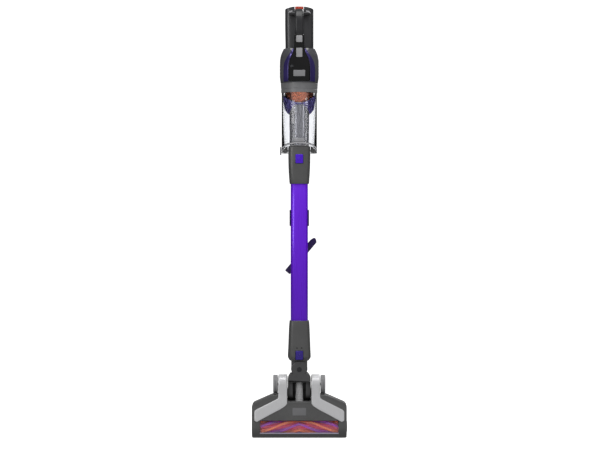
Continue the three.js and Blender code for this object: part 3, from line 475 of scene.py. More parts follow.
class Groups:
    """The shader node groups that the finishes share, each built once."""

    made: dict[str, bpy.types.NodeTree] = {}

    @classmethod
    def start(cls, name: str, inputs: dict[str, float], outputs: Sequence[str]) -> bpy.types.NodeTree:
        """Makes an empty group with number sockets.

        Args:
            name: the group's name.
            inputs: each input's name and first value.
            outputs: names of the outputs.

        Returns:
            The group's node tree.
        """
        tree = bpy.data.node_groups.new(name, "ShaderNodeTree")
        for label, value in inputs.items():
            socket = tree.interface.new_socket(name=label, in_out="INPUT", socket_type="NodeSocketFloat")
            socket.default_value = value
        for label in outputs:
            tree.interface.new_socket(name=label, in_out="OUTPUT", socket_type="NodeSocketFloat")
        cls.made[name] = tree
        return tree

    @classmethod
    def grain(cls) -> bpy.types.NodeTree:
        """Moulded surface: Height is fine grain, Cloud slow change of tone, and Smudge handling."""
        if "moulded_grain" in cls.made:
            return cls.made["moulded_grain"]
        tree = cls.start("moulded_grain", {"Grains per metre": 1400.0}, ("Height", "Cloud", "Smudge"))
        nodes, links = tree.nodes, tree.links
        give, take = nodes.new("NodeGroupInput"), nodes.new("NodeGroupOutput")
        place = nodes.new("ShaderNodeTexCoord")
        for label, scale, detail, low, high in (("Height", None, 3.0, 0.3, 0.7),
                ("Cloud", 14.0, 2.0, 0.35, 0.65),
                ("Smudge", 55.0, 4.0, 0.4, 0.72)):
            noise = nodes.new("ShaderNodeTexNoise")
            noise.inputs["Detail"].default_value = detail
            if scale is None:
                links.new(give.outputs["Grains per metre"], noise.inputs["Scale"])
            else:
                noise.inputs["Scale"].default_value = scale
            links.new(place.outputs["Object"], noise.inputs["Vector"])
            level = nodes.new("ShaderNodeMapRange")
            level.inputs["From Min"].default_value, level.inputs["From Max"].default_value = low, high
            links.new(noise.outputs["Fac"], level.inputs["Value"])
            links.new(level.outputs["Result"], take.inputs[label])
        return tree

    @classmethod
    def wear(cls) -> bpy.types.NodeTree:
        """Edge wear: Mask is high on outside edges, broken up by noise."""
        if "edge_wear" in cls.made:
            return cls.made["edge_wear"]
        tree = cls.start("edge_wear", {"Amount": 0.5}, ("Mask",))
        nodes, links = tree.nodes, tree.links
        give, take = nodes.new("NodeGroupInput"), nodes.new("NodeGroupOutput")
        place, shape = nodes.new("ShaderNodeTexCoord"), nodes.new("ShaderNodeNewGeometry")
        noise = nodes.new("ShaderNodeTexNoise")
        noise.inputs["Scale"].default_value = 160.0
        links.new(place.outputs["Object"], noise.inputs["Vector"])
        edge = nodes.new("ShaderNodeMapRange")
        edge.inputs["From Min"].default_value, edge.inputs["From Max"].default_value = 0.515, 0.60
        links.new(shape.outputs["Pointiness"], edge.inputs["Value"])
        first, second = nodes.new("ShaderNodeMath"), nodes.new("ShaderNodeMath")
        first.operation = second.operation = "MULTIPLY"
        links.new(edge.outputs["Result"], first.inputs[0])
        links.new(noise.outputs["Fac"], first.inputs[1])
        links.new(first.outputs[0], second.inputs[0])
        links.new(give.outputs["Amount"], second.inputs[1])
        links.new(second.outputs[0], take.inputs["Mask"])
        return tree

    @classmethod
    def streaks(cls) -> bpy.types.NodeTree:
        """Drawn metal: Line changes quickly across x and y, and slowly along z."""
        if "drawn_streaks" in cls.made:
            return cls.made["drawn_streaks"]
        tree = cls.start("drawn_streaks", {"Fineness": 900.0, "Stretch": 0.02}, ("Line",))
        nodes, links = tree.nodes, tree.links
        give, take = nodes.new("NodeGroupInput"), nodes.new("NodeGroupOutput")
        place, squeeze = nodes.new("ShaderNodeTexCoord"), nodes.new("ShaderNodeCombineXYZ")
        squeeze.inputs["X"].default_value = squeeze.inputs["Y"].default_value = 1.0
        links.new(give.outputs["Stretch"], squeeze.inputs["Z"])
        scaled = nodes.new("ShaderNodeVectorMath")
        scaled.operation = "MULTIPLY"
        links.new(place.outputs["Object"], scaled.inputs[0])
        links.new(squeeze.outputs[0], scaled.inputs[1])
        noise = nodes.new("ShaderNodeTexNoise")
        noise.inputs["Detail"].default_value = 2.0
        links.new(give.outputs["Fineness"], noise.inputs["Scale"])
        links.new(scaled.outputs[0], noise.inputs["Vector"])
        links.new(noise.outputs["Fac"], take.inputs["Line"])
        return tree


class Paint:
    """A material under construction: its nodes, its shader and short ways to wire them."""

    def __init__(self, name: str) -> None:
        """Starts a material that holds one Principled shader."""
        self.material = bpy.data.materials.new(name)
        self.material.use_nodes = True
        self.nodes, self.links = self.material.node_tree.nodes, self.material.node_tree.links
        self.shader = next(node for node in self.nodes if node.type == "BSDF_PRINCIPLED")

    def group(self, tree: bpy.types.NodeTree, **values: float) -> bpy.types.Node:
        """Returns a new group node with its inputs set, underscores in a name standing for spaces."""
        node = self.nodes.new("ShaderNodeGroup")
        node.node_tree = tree
        for name, value in values.items():
            node.inputs[name.replace("_", " ")].default_value = value
        return node

    def blend(self, mask: bpy.types.NodeSocket, first: Sequence[float] | bpy.types.NodeSocket,
            second: Sequence[float]) -> bpy.types.NodeSocket:
        """Mixes two colours.

        Args:
            mask: where the second colour shows.
            first: a colour, or a socket that gives one.
            second: the other colour.

        Returns:
            The socket with the mixed colour.
        """
        node = self.nodes.new("ShaderNodeMix")
        node.data_type = "RGBA"
        self.links.new(mask, node.inputs["Factor"])
        if isinstance(first, bpy.types.NodeSocket):
            self.links.new(first, node.inputs["A"])
        else:
            node.inputs["A"].default_value = first
        node.inputs["B"].default_value = second
        return node.outputs["Result"]

    def level(self, value: bpy.types.NodeSocket, low: float, high: float, start: float = 0.0,
            end: float = 1.0) -> bpy.types.NodeSocket:
        """Maps a value from the range start to end onto the range low to high, and returns its socket."""
        node = self.nodes.new("ShaderNodeMapRange")
        node.inputs["From Min"].default_value, node.inputs["From Max"].default_value = start, end
        node.inputs["To Min"].default_value, node.inputs["To Max"].default_value = low, high
        self.links.new(value, node.inputs["Value"])
        return node.outputs["Result"]

    def bump(self, height: bpy.types.NodeSocket, depth_mm: float, strength: float = 0.5) -> None:
        """Feeds a height of that depth into the shader's normal."""
        node = self.nodes.new("ShaderNodeBump")
        node.inputs["Strength"].default_value = strength
        node.inputs["Distance"].default_value = depth_mm / 1000.0
        self.links.new(height, node.inputs["Height"])
        self.links.new(node.outputs["Normal"], self.shader.inputs["Normal"])

    def feed(self, name: str, socket: bpy.types.NodeSocket) -> None:
        """Links a socket to one of the shader's inputs."""
        self.links.new(socket, self.shader.inputs[name])

    def fix(self, **values: float | Sequence[float]) -> None:
        """Sets plain values on the shader, underscores in a name standing for spaces."""
        for name, value in values.items():
            self.shader.inputs[name.replace("_", " ")].default_value = value


class Sheen(Enum):
    """How glossy a moulding is: lowest roughness, highest roughness and coat weight."""

    SOFT = (0.55, 0.72, 0.0)
    SATIN = (0.30, 0.44, 0.0)
    SMOOTH = (0.16, 0.26, 0.0)
    PIANO = (0.05, 0.12, 0.6)


@dataclass(frozen=True)
class Moulding:
    """Injection-moulded plastic or rubber: two close tones, grain, patches of handling and worn edges."""

    name: str
    slot: str
    tone: int
    sheen: Sheen = Sheen.SATIN
    grain_mm: float = 0.02
    lift: float = 0.12
    worn: float = 0.35
    metallic: float = 0.0

    def material(self) -> bpy.types.Material:
        """Builds the material."""
        paint = Paint(self.name)
        grain = paint.group(Groups.grain(), Grains_per_metre=1500.0)
        base = np.array(linear(self.tone))
        light = tuple(np.minimum(base * (1 + self.lift) + 0.002, 1.0))
        edge = tuple(np.minimum(base * 1.5 + 0.03, 1.0))
        wear = paint.group(Groups.wear(), Amount=self.worn)
        cloud = paint.blend(grain.outputs["Cloud"], tuple(base), light)
        paint.feed("Base Color", paint.blend(wear.outputs["Mask"], cloud, edge))
        low, high, coat = self.sheen.value
        paint.feed("Roughness", paint.level(grain.outputs["Smudge"], low, high))
        paint.bump(grain.outputs["Height"], self.grain_mm, 0.35)
        paint.fix(Coat_Weight=coat, Coat_Roughness=0.04, Metallic=self.metallic)
        return paint.material


@dataclass(frozen=True)
class DrawnMetal:
    """Drawn or anodised metal: fine streaks along z, in colour and in gloss."""

    name: str
    slot: str
    tone: int
    rough: float = 0.28
    metallic: float = 1.0
    coat: float = 0.0

    def material(self) -> bpy.types.Material:
        """Builds the material."""
        paint = Paint(self.name)
        streaks = paint.group(Groups.streaks(), Fineness=1100.0, Stretch=0.02)
        grain = paint.group(Groups.grain(), Grains_per_metre=2200.0)
        base = np.array(linear(self.tone))
        deep = tuple(np.append(base[:3] * 0.86, 1.0))
        paint.feed("Base Color", paint.blend(streaks.outputs["Line"], deep, tuple(base)))
        paint.feed("Roughness", paint.level(streaks.outputs["Line"], self.rough * 0.8, self.rough * 1.25, 0.3,
            0.7))
        paint.bump(grain.outputs["Height"], 0.008, 0.25)
        paint.fix(Metallic=self.metallic, Coat_Weight=self.coat, Coat_Roughness=0.06)
        return paint.material


@dataclass(frozen=True)
class ClearPlastic:
    """Clear moulding: light passes through, and fine scuffs dull its gloss in patches."""

    name: str
    slot: str
    tone: int
    rough: float = 0.03
    through: float = 1.0
    index: float = 1.42

    def material(self) -> bpy.types.Material:
        """Builds the material."""
        paint = Paint(self.name)
        grain = paint.group(Groups.grain(), Grains_per_metre=500.0)
        paint.feed("Roughness", paint.level(grain.outputs["Smudge"], self.rough, self.rough + 0.05))
        base = np.array(linear(self.tone))
        paint.feed("Base Color", paint.blend(grain.outputs["Cloud"], tuple(base),
            tuple(np.append(base[:3] * 0.97, 1.0))))
        paint.fix(Transmission_Weight=self.through, IOR=self.index)
        return paint.material


@dataclass(frozen=True)
class Bristle:
    """Dyed nylon tufts: tone changes from tuft to tuft and dust greys the tips."""

    name: str
    slot: str
    tone: int

    def material(self) -> bpy.types.Material:
        """Builds the material."""
        paint = Paint(self.name)
        grain = paint.group(Groups.grain(), Grains_per_metre=2600.0)
        base = np.array(linear(self.tone))
        bright = tuple(np.minimum(np.append(base[:3] * 1.45 + 0.01, 1.0), 1.0))
        mixed = paint.blend(grain.outputs["Height"], tuple(base), bright)
        dusty = tuple(np.append(base[:3] * 0.6 + 0.05, 1.0))
        paint.feed("Base Color", paint.blend(grain.outputs["Smudge"], mixed, dusty))
        paint.bump(grain.outputs["Height"], 0.15, 0.8)
        paint.fix(Roughness=0.62, Sheen_Weight=0.25)
        return paint.material


@dataclass(frozen=True)
class Perforated:
    """Punched metal sheet: rows of dark holes in a bright metal."""

    name: str
    slot: str
    tone: int
    hole: int = 0x1A0D0A
    pitch_mm: float = 2.0

    def material(self) -> bpy.types.Material:
        """Builds the material."""
        paint = Paint(self.name)
        place, cell = paint.nodes.new("ShaderNodeTexCoord"), paint.nodes.new("ShaderNodeTexVoronoi")
        cell.inputs["Scale"].default_value = 1000.0 / self.pitch_mm
        cell.inputs["Randomness"].default_value = 0.12
        paint.links.new(place.outputs["Object"], cell.inputs["Vector"])
        solid = paint.level(cell.outputs["Distance"], 0.0, 1.0, 0.24, 0.34)
        paint.feed("Base Color", paint.blend(solid, linear(self.hole), linear(self.tone)))
        paint.feed("Metallic", paint.level(solid, 0.2, 0.9))
        grain = paint.group(Groups.grain(), Grains_per_metre=900.0)
        paint.feed("Roughness", paint.level(grain.outputs["Smudge"], 0.25, 0.38))
        paint.bump(solid, 0.25, 0.7)
        return paint.material


@dataclass(frozen=True)
class Pleats:
    """Folded filter paper: soft white, a little grey between the folds."""

    name: str
    slot: str
    tone: int

    def material(self) -> bpy.types.Material:
        """Builds the material."""
        paint = Paint(self.name)
        grain = paint.group(Groups.grain(), Grains_per_metre=3000.0)
        base = np.array(linear(self.tone))
        paint.feed("Base Color", paint.blend(grain.outputs["Smudge"], tuple(base),
            tuple(np.append(base[:3] * 0.8, 1))))
        paint.bump(grain.outputs["Height"], 0.1, 0.6)
        paint.fix(Roughness=0.9)
        return paint.material


Finish = Moulding | DrawnMetal | ClearPlastic | Bristle | Perforated | Pleats


class Palette:
    """Every finish of the vacuum, by the part of it that wears it."""

    shell = Moulding("housing_gloss", "housing_shell", 0x5A5A5E, Sheen.PIANO, 0.004, worn=0.1)
    console = Moulding("console_black", "console_black", 0x121213, Sheen.SMOOTH, 0.004, worn=0.1)
    handle = Moulding("handle_black", "handle_black", 0x2A2A2C, Sheen.SATIN, 0.02)
    dock = Moulding("dock_charcoal", "dock_charcoal", 0x38383A, Sheen.SATIN, 0.02)
    battery = Moulding("battery_charcoal", "battery_charcoal", 0x38383B, Sheen.SATIN, 0.03)
    arch = Moulding("arch_plum", "arch_plum", 0x4A4180, Sheen.SMOOTH, 0.004, metallic=0.45, worn=0.1)
    grip = Moulding("grip_rubber", "grip_rubber", 0x252526, Sheen.SOFT, 0.12)
    key = Moulding("key_grey", "button_grey", 0xB0B0B2, Sheen.SATIN, 0.015)
    red = Moulding("latch_red", "latch_red", 0xA83822, Sheen.SMOOTH, 0.006)
    badge = DrawnMetal("badge_silver", "badge_silver", 0xB6B6B9, 0.4, 0.4)
    # Pale lavender lip under the window: a painted reflection of light on the window's lower rim.
    lip = Moulding("window_lip", "window_clear", 0xC9C2D8, Sheen.SMOOTH, 0.004)
    badge_dark = Moulding("badge_dark", "head_grey", 0x78787A, Sheen.SMOOTH, 0.004)
    # Bright line along the top of the grip's foot: a painted highlight.
    foot_painted_highlight = DrawnMetal("foot_highlight_line", "badge_silver", 0xC4C4C8, 0.4, 0.4)
    # A lighter copy of the dock's charcoal: painted highlight along the dock's arched top.
    dock_painted_highlight = Moulding("dock_painted_highlight", "dock_charcoal", 0x9A9A9C, Sheen.SATIN, 0.01)
    # Bin rim: a real rim on the clear bin, drawn opaque light grey as a painted reflection of its bright
    # edge.
    rim = Moulding("bin_rim", "bin_clear", 0xC6C6CA, Sheen.SMOOTH, 0.004, worn=0.1)
    lens = ClearPlastic("indicator_lens", "lens_clear", 0xE6EAF2)
    board = Moulding("board_green", "board_green", 0x1D5A33, Sheen.SMOOTH)
    collar = Moulding("collar_grey", "collar_grey", 0x78787A, Sheen.SATIN, 0.01)
    duct = Moulding("duct_grey", "duct_grey", 0x66666C, Sheen.SMOOTH, 0.008, metallic=0.2)
    clear = ClearPlastic("bin_clear", "bin_clear", 0xFAFBFD)
    copper = Perforated("copper_mesh", "copper_mesh", 0xA86046)
    skirt = Moulding("skirt_plum", "skirt_plum", 0x4C467A, Sheen.SMOOTH, 0.006, metallic=0.2)
    paper = Pleats("filter_paper", "filter_white", 0xDCDCD6)
    steel = DrawnMetal("bright_steel", "steel", 0xB8B8BC, 0.25)
    can = DrawnMetal("motor_can", "motor_steel", 0xA0A0A6, 0.35)
    mount = Moulding("mount_rubber", "mount_rubber", 0x2A2A2A, Sheen.SOFT, 0.08)
    fan = Moulding("fan_grey", "fan_grey", 0x7C7C80, Sheen.SATIN)
    boss = Moulding("boss_black", "boss_black", 0x2C2C2E, Sheen.SATIN, 0.03)
    catch = Moulding("catch_grey", "catch_grey", 0x9A9A9E, Sheen.SATIN)
    door_latch = Moulding("door_latch", "latch_dark", 0x505054, Sheen.SATIN)
    violet = DrawnMetal("wand_violet", "wand_violet", 0x761CF8, 0.32, 0.2, 0.3)
    coupler = Moulding("coupler_grey", "coupler_grey", 0x565656, Sheen.SATIN, 0.02)
    bright_key = Moulding("violet_key", "button_violet", 0x4E18CE, Sheen.SMOOTH, 0.008, worn=0.1)
    dull_key = Moulding("indigo_key", "button_indigo", 0x38288A, Sheen.SMOOTH, 0.008, worn=0.1)
    saddle = Moulding("saddle_plum", "saddle_plum", 0x30265A, Sheen.SMOOTH, 0.01)
    bar = Moulding("bar_plum", "bar_plum", 0x2E1C52, Sheen.SATIN, 0.02)
    channel = Moulding("channel_dark", "channel_dark", 0x3A3A3E, Sheen.SATIN, 0.02)
    neck = Moulding("neck_grey", "neck_grey", 0x606061, Sheen.SATIN, 0.02)
    yoke = Moulding("yoke_grey", "yoke_grey", 0x4C4C4D, Sheen.SATIN, 0.03)
    hose = Moulding("hose_grey", "hose_grey", 0xB4B4B5, Sheen.SATIN, 0.03)
    head = Moulding("head_grey", "head_grey", 0x565656, Sheen.SATIN, 0.03)
    sole = Moulding("sole_black", "sole_black", 0x1C1C1D, Sheen.SATIN, 0.05)
    window = ClearPlastic("window_clear", "window_clear", 0xF4F0F8)
    roll = Moulding("roll_crimson", "roll_crimson", 0xC42850, Sheen.SATIN, 0.02)
    orange = Bristle("bristle_orange", "bristle_orange", 0xFF7A44)
    purple = Bristle("bristle_purple", "bristle_purple", 0x9A2EB0)
    cap = Moulding("cap_black", "cap_black", 0x2A2A2C, Sheen.SATIN, 0.02)
    belt = Moulding("belt_rubber", "belt_rubber", 0x1E1E1E, Sheen.SOFT, 0.1)
    band = DrawnMetal("band_silver", "band_silver", 0xEAEAEC, 0.4, 0.3)
    wheel = Moulding("wheel_rubber", "wheel_grey", 0x8A8A8C, Sheen.SATIN, 0.06)
    roller = Moulding("roller_rubber", "roller_black", 0x2E2E2E, Sheen.SOFT, 0.08)

    made: dict[str, bpy.types.Material] = {}

    @classmethod
    def of(cls, finish: Finish) -> bpy.types.Material:
        """Returns the finish's material, built on first use."""
        if finish.name not in cls.made:
            cls.made[finish.name] = finish.material()
        return cls.made[finish.name]


# ---------------------------------------------------------------- pieces


def piece(name: str, shells: Sequence[Shell], finish: Finish, body: str, replaces: Sequence[str] = (),
        crease: float = 32.0) -> bpy.types.Object:
    """Puts closed shells into the scene as one piece.

    Args:
        name: the piece's name.
        shells: its closed shells, in millimetres.
        finish: what it is made of.
        body: the CAD body it rides on, or nothing to leave the piece unattached.
        replaces: CAD nodes that it stands for.
        crease: edges that turn by more degrees than this are sharp.

    Returns:
        The new object.
    """
    starts = np.cumsum([0] + [len(shell.points) for shell in shells])
    points = SITE.metres(np.concatenate([shell.points for shell in shells]))
    faces = [face for start, shell in zip(starts, shells) for face in (shell.quads + start).tolist()]
    faces += [(cap + start).tolist() for start, shell in zip(starts, shells) for cap in shell.caps]
    mesh = bpy.data.meshes.new(name)
    mesh.from_pydata(points.tolist(), [], faces)
    mesh.polygons.foreach_set("use_smooth", np.ones(len(mesh.polygons), bool))
    mesh.set_sharp_from_angle(angle=math.radians(crease))
    mesh.materials.append(Palette.of(finish))
    mesh.update()
    made = bpy.data.objects.new(name, mesh)
    bpy.context.scene.collection.objects.link(made)
    if body:
        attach(made, body)
    if replaces:
        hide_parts(*replaces)
    LOG.info("%s: %d faces", name, len(mesh.polygons))
    return made


def keep(node: str, finish: Finish, bevel_mm: float = 0.0) -> None:
    """Dresses a CAD node that stays in view.

    Args:
        node: name of the node.
        finish: what it is made of.
        bevel_mm: width of a bevel on its sharp edges.
    """
    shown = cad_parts[node]
    shown.data.materials.clear()
    shown.data.materials.append(Palette.of(finish))
    if bevel_mm:
        bevel = shown.modifiers.new("soft_edges", "BEVEL")
        bevel.width, bevel.segments = bevel_mm / 1000.0, 2
        bevel.limit_method, bevel.angle_limit = "ANGLE", math.radians(40)
    LOG.info("%s: CAD node", node)


def solidified(made: bpy.types.Object, thick_mm: float) -> bpy.types.Object:
    """Gives an open surface a wall.

    Args:
        made: the piece.
        thick_mm: wall, measured inwards.

    Returns:
        The same piece.
    """
    wall = made.modifiers.new("wall", "SOLIDIFY")
    wall.thickness, wall.offset = thick_mm / 1000.0, -1.0
    return made


def warped(shell: Shell, change: Callable[[Array], Array]) -> Shell:
    """Returns the shell with its points passed through a function."""
    return Shell(change(shell.points), shell.quads, shell.caps).outward()


def hollow(outer: Array, inner: Array, sides: int = 96,
        lift: Callable[[Array], Array] | None = None) -> Shell:
    """Builds a tube whose outside and inside are both stacks of oblong sections.

    Formula: the outer rings go up, the inner rings come back down, and the last joins the first.

    Args:
        outer: rows of height, half width, half depth, power and centre y.
        inner: the same for the inside, also from the bottom up.
        sides: points in a ring.
        lift: changes the array of rings before they are joined.

    Returns:
        The closed shell.
    """
    rows = np.concatenate([outer, inner[::-1]])
    flat = super_ring(rows[:, 1], rows[:, 2], rows[:, 3], sides)
    rings = np.stack([flat[..., 0], flat[..., 1] + rows[:, 4:5],
        np.broadcast_to(rows[:, :1], flat.shape[:2])], -1)
    return tower(rings if lift is None else lift(rings), ring_like=True)


def oblong(half_x: float, half_y: float, radius: float, x: float = 0.0, y: float = 0.0,
        steps: int = 6) -> Outline:
    """Returns the outline of a rectangle with rounded corners."""
    corners = [(x - half_x, y - half_y, radius), (x + half_x, y - half_y, radius),
        (x + half_x, y + half_y, radius), (x - half_x, y + half_y, radius)]
    return Outline(corners, steps)


def arc(centre: tuple[float, float], radius: float, start: float, end: float, steps: int = 24) -> Array:
    """Returns points on an arc, from one angle to another in degrees, as rows of two numbers."""
    t = np.radians(np.linspace(start, end, steps))
    return np.stack([centre[0] + radius * np.cos(t), centre[1] + radius * np.sin(t)], axis=1)


# ---------------------------------------------------------------- floor head


@dataclass
class FloorHead:
    """The powered floor head: casing, window, brush roll, side bands, wheels and rollers."""

    row_twist: float = 1.9
    half_wide: float = 126.0
    nose: float = 30.0
    roll_y: float = 8.0
    roll_z: float = 30.0
    roll_radius: float = 23.5
    core_radius: float = 14.0
    level_top: float = 117.0
    corner_top: float = 93.0
    shoulder_half: float = 71.0
    bay_half: float = 31.5
    bay_floor: float = 99.0
    arm_wide: float = 24.5
    arm_radius: float = 24.0
    wheel_y: float = 7.0
    wheel_z: float = 143.0
    wheel_radius: float = 25.0
    sole: float = 27.0
    window_half: float = 104.1
    window_low: float = 13.7
    window_high: float = 48.3
    slope: float = 5.0 / 87.0

    def front(self, z: Array | float) -> Array:
        """Gives the front line of the casing.

        Formula: a circle round the roll up to its axis, then a straight line that leans to the rear.

        Args:
            z: height.

        Returns:
            y at that height.
        """
        z = np.asarray(z, float)
        below = np.sqrt(np.maximum(self.nose**2 - (self.roll_z - np.minimum(z, self.roll_z)) ** 2, 0.0))
        return self.roll_y - below + np.maximum(z - self.roll_z, 0.0) * self.slope

    def cover(self) -> None:
        """Builds the top cover, an open box whose front lies on the casing's line.

        Formula: rings of its outline inset by d, r - sqrt(r^2 - (r - d)^2) behind the front line,
        with r small along the window and larger elsewhere.
        """
        w, inner, top, edge = self.half_wide, self.bay_half, self.level_top, 3.0
        notch = self.bay_half + self.arm_wide + 2
        outline = Outline([(-w, 48.7, 1.0), (w, 48.7, 1.0), (w, self.corner_top, 10),
            (self.shoulder_half, top, 6),
            (notch, top, 3.5), (inner, top, 3.5), (inner, self.bay_floor, 6), (-inner, self.bay_floor, 6),
            (-inner, top, 3.5), (-notch, top, 3.5), (-self.shoulder_half, top, 6), (-w, self.corner_top, 10)],
            10)
        radius = np.clip((outline.ring()[:, 1] - 48.7) * 0.6, 0.5, edge)
        rings = [Facing.FRONT.lift(outline.ring(), self.sole),
            Facing.FRONT.lift(outline.ring(), self.sole * 0.4)]
        for angle in np.linspace(0.0, math.pi / 2, 8):
            d = edge * (1 - math.cos(angle))
            ring = outline.ring(d)
            short = np.maximum(radius - d, 0.0)
            drop = radius - np.sqrt(np.maximum(radius**2 - short**2, 0.0))
            rings.append(Facing.FRONT.lift(ring, self.front(ring[:, 1]) + drop))
        full = tower(np.stack(rings))
        end = full.caps[-1] if abs(full.points[full.caps[-1]][:, 1].mean()) < 25 else full.caps[0]
        centre = full.points[full.quads]
        wall = (centre[..., 2].max(axis=1) < 49.5) & (centre[..., 1].max(axis=1) > -12)
        skin = Shell(full.points, full.quads[~wall], [end])
        solidified(piece("head_cover", [skin], Palette.head, "head", ["head_casing"]), 3.0)

    def nose_and_cheeks(self) -> None:
        """Builds the bumper below the window and the cheeks beside it.

        Formula: the bumper is an arc of the nose carried across x; a cheek is the arc, closed along the sole,
        carried from the window's end to the side, with a step under the cover.
        """
        cheek = np.concatenate([
            [[self.sole, 1.0]], arc((self.roll_y, self.roll_z), self.nose, -90, -180, 22),
            [[self.front(48.2), 48.2], [self.front(48.3) + 3.3, 48.4], [self.front(54.0) + 3.3, 54.0],
            [self.sole, 54.0]]])
        ends = slab(cheek, self.window_half + 0.3, self.half_wide, Facing.SIDE, 0.3, 3.0, 8)
        low = math.degrees(math.asin((self.roll_z - self.window_low + 0.3) / self.nose))
        strip = np.concatenate([arc((self.roll_y, self.roll_z), self.nose, -89.9, -180 + low, 24),
            arc((self.roll_y, self.roll_z), self.nose - 3.2, -180 + low, -89.9, 24)])
        bumper = slab(strip, -self.window_half - 0.2, self.window_half + 0.2, Facing.SIDE, 0.3)
        piece("head_nose", [*both_sides(ends), bumper], Palette.head, "head")
        line = np.concatenate([arc((self.roll_y, self.roll_z), self.nose + 0.25, -98, -112, 8),
            arc((self.roll_y, self.roll_z), self.nose - 2.0, -112, -98, 8)])
        trim = slab(line, -self.half_wide + 3, self.half_wide - 3, Facing.SIDE, 0.2)
        piece("nose_strip", [trim], Palette.sole, "head")

    def window(self) -> None:
        """Builds the clear window, the dark line along its top, and a pale lavender strip along its lower rim
        that is a painted reflection.

        Formula: arcs of two circles round the roll, joined at their rims and carried across x.
        """
        x = self.window_half - 0.4

        def angle(z: float) -> float:
            """Returns the angle on the nose at a height, in degrees."""
            return -180 + math.degrees(math.asin((self.roll_z - z) / self.nose))

        low, high = angle(self.window_low + 0.4), angle(self.window_high - 0.4)
        outer = arc((self.roll_y, self.roll_z), self.nose - 0.4, low, high, 36)
        inner = arc((self.roll_y, self.roll_z), self.nose - 2.7, high, low, 36)
        piece("brush_window_pane", [slab(np.concatenate([outer, inner]), -x, x, Facing.SIDE, 0.3)],
            Palette.window, "head", ["brush_window"])
        # The low lip is a painted reflection, a pale lavender strip along the window's lower rim; the high
        # lip is a dark line.
        for name, finish, start, end in (("window_reflection_strip_low", Palette.lip, angle(self.window_low - 0.4),
                angle(self.window_low + 1.8)),
                ("window_lip_high", Palette.sole, high, angle(self.window_high + 0.3))):
            rim = np.concatenate([arc((self.roll_y, self.roll_z), self.nose + 0.05, start, end, 6),
                arc((self.roll_y, self.roll_z), self.nose - 2.2, end, start, 6)])
            piece(name, [slab(rim, -x - 0.5, x + 0.5, Facing.SIDE, 0.1)], finish, "head")

    def arms(self) -> None:
        """Builds the wheel arms: a bar in side view with a round end about the wheel's axle."""
        front = self.wheel_y - self.arm_radius
        side = np.concatenate([[[front + 0.4, self.bay_floor - 2]],
            arc((self.wheel_y, self.wheel_z), self.arm_radius, 180, 0, 40),
            [[self.wheel_y + self.arm_radius, 118.0], [self.sole, 114.0], [self.sole, self.bay_floor - 2]]])
        arm = slab(side, self.bay_half, self.bay_half + self.arm_wide, Facing.SIDE, 2.2, 2.6, 6)
        piece("wheel_arms", both_sides(arm), Palette.head, "head")
        # Rear wall of the bay: a real wall, coloured black as painted shade behind the hose.
        back = slab(oblong(self.bay_half - 0.2, 17.5, 2.0, 0.0, 115.5), 23.6, 26.9, Facing.FRONT, 0.5)
        piece("bay_back_painted_shade", [back], Palette.sole, "head")
        boss = revolve(disc_profile(9.0, 0, 1.0, 0.5), 0, (self.bay_half - 0.9, self.wheel_y, 120.0), 48)
        piece("pivot_bosses", both_sides(boss), Palette.neck, "head")

    def bands(self) -> None:
        """Builds the silver bands along the arms and out to the front corners.

        Formula: rows s run up the front line and round the arm's end, columns run from the band's inner to
        its outer edge, and each point stands off that line along its normal.
        """
        s = np.linspace(0.0, 1.0, 170)
        up, round_end = self.wheel_z - 46.0, self.arm_radius * math.radians(128)
        length = s * (up + round_end)
        z = np.minimum(46.0 + length, self.wheel_z)
        turn = np.maximum(length - up, 0.0) / self.arm_radius

        def line(distance: float) -> tuple[Array, Array]:
            """Returns y and z of the rows at a distance off the casing."""
            flat = z < self.wheel_z
            y = np.where(z < self.level_top, self.front(z), self.wheel_y - self.arm_radius) - distance
            r = self.arm_radius + distance
            return (np.where(flat, y, self.wheel_y - r * np.cos(turn)),
                np.where(flat, z, self.wheel_z + r * np.sin(turn)))

        inner = np.interp(46.0 + length, [45.6, 62, 78, 84, 89, 94, 400],
            [112, 82, 51.5, 42, 35.5, 32.6, 32.3])
        outer = np.interp(46.0 + length, [46, 47.6, 50, 71, 75, 78, 104, 108, 118, 400],
            [114, 117.5, 119, 119, 117.6, 113.5, 61.5, 55.8, 55.2, 55.2])
        t = np.linspace(0.0, 1.0, 14)[None, :]
        x = inner[:, None] * (1 - t) + outer[:, None] * t
        edge = np.minimum(np.minimum(x - inner[:, None], outer[:, None] - x), 1.4)
        grids = []
        for distance in (2.1, 0.15):
            y, height = line(distance)
            fall = (1.4 - edge) * 0.55 if distance > 1 else 0 * edge
            grids.append(np.stack([x, y[:, None] + fall, np.broadcast_to(height[:, None], x.shape)], axis=-1))
        for name, shells in (("side_band_right", [sheet(*grids)]),
                ("side_band_left", [sheet(*grids).mirrored()])):
            piece(name + "_trim", shells, Palette.band, "head", [name], 50)

    def roll(self) -> None:
        """Builds the brush roll: a turned core with its shaft and pulley, and its rows of tufts.

        Formula: a tuft is a four-sided stem from the core to the tips; its foot lies on a row that twists
        from the middle to both ends by 1.9 radians, and its lean changes with a sine of its number.
        """
        centre = (0.0, self.roll_y, self.roll_z)
        core = revolve(disc_profile(self.core_radius, -103.5, 103.5, 1.2), 0, centre, 96)
        shaft = revolve(disc_profile(4.0, -119.0, 110.4, 0.5), 0, centre, 40)
        pulley = revolve(disc_profile(9.0, -119.2, -113.4, 0.4), 0, centre, 48)
        piece("roll_core", [core, shaft, pulley], Palette.roll, "brush_roll", ["brush_core"])
        half, columns, rows = 100.5, 118, 8
        x = np.linspace(-half, half, columns)
        for row in range(rows):
            tone = Palette.purple if row % 2 else Palette.orange
            stands = [f"bristle_row_{row // 2 + 1}"] if row % 2 == 0 else []
            body = self.tufts(x, math.pi + 0.35 + row * TAU / rows, half)
            piece(f"tufts_{row + 1}", body, tone, "brush_roll", stands)

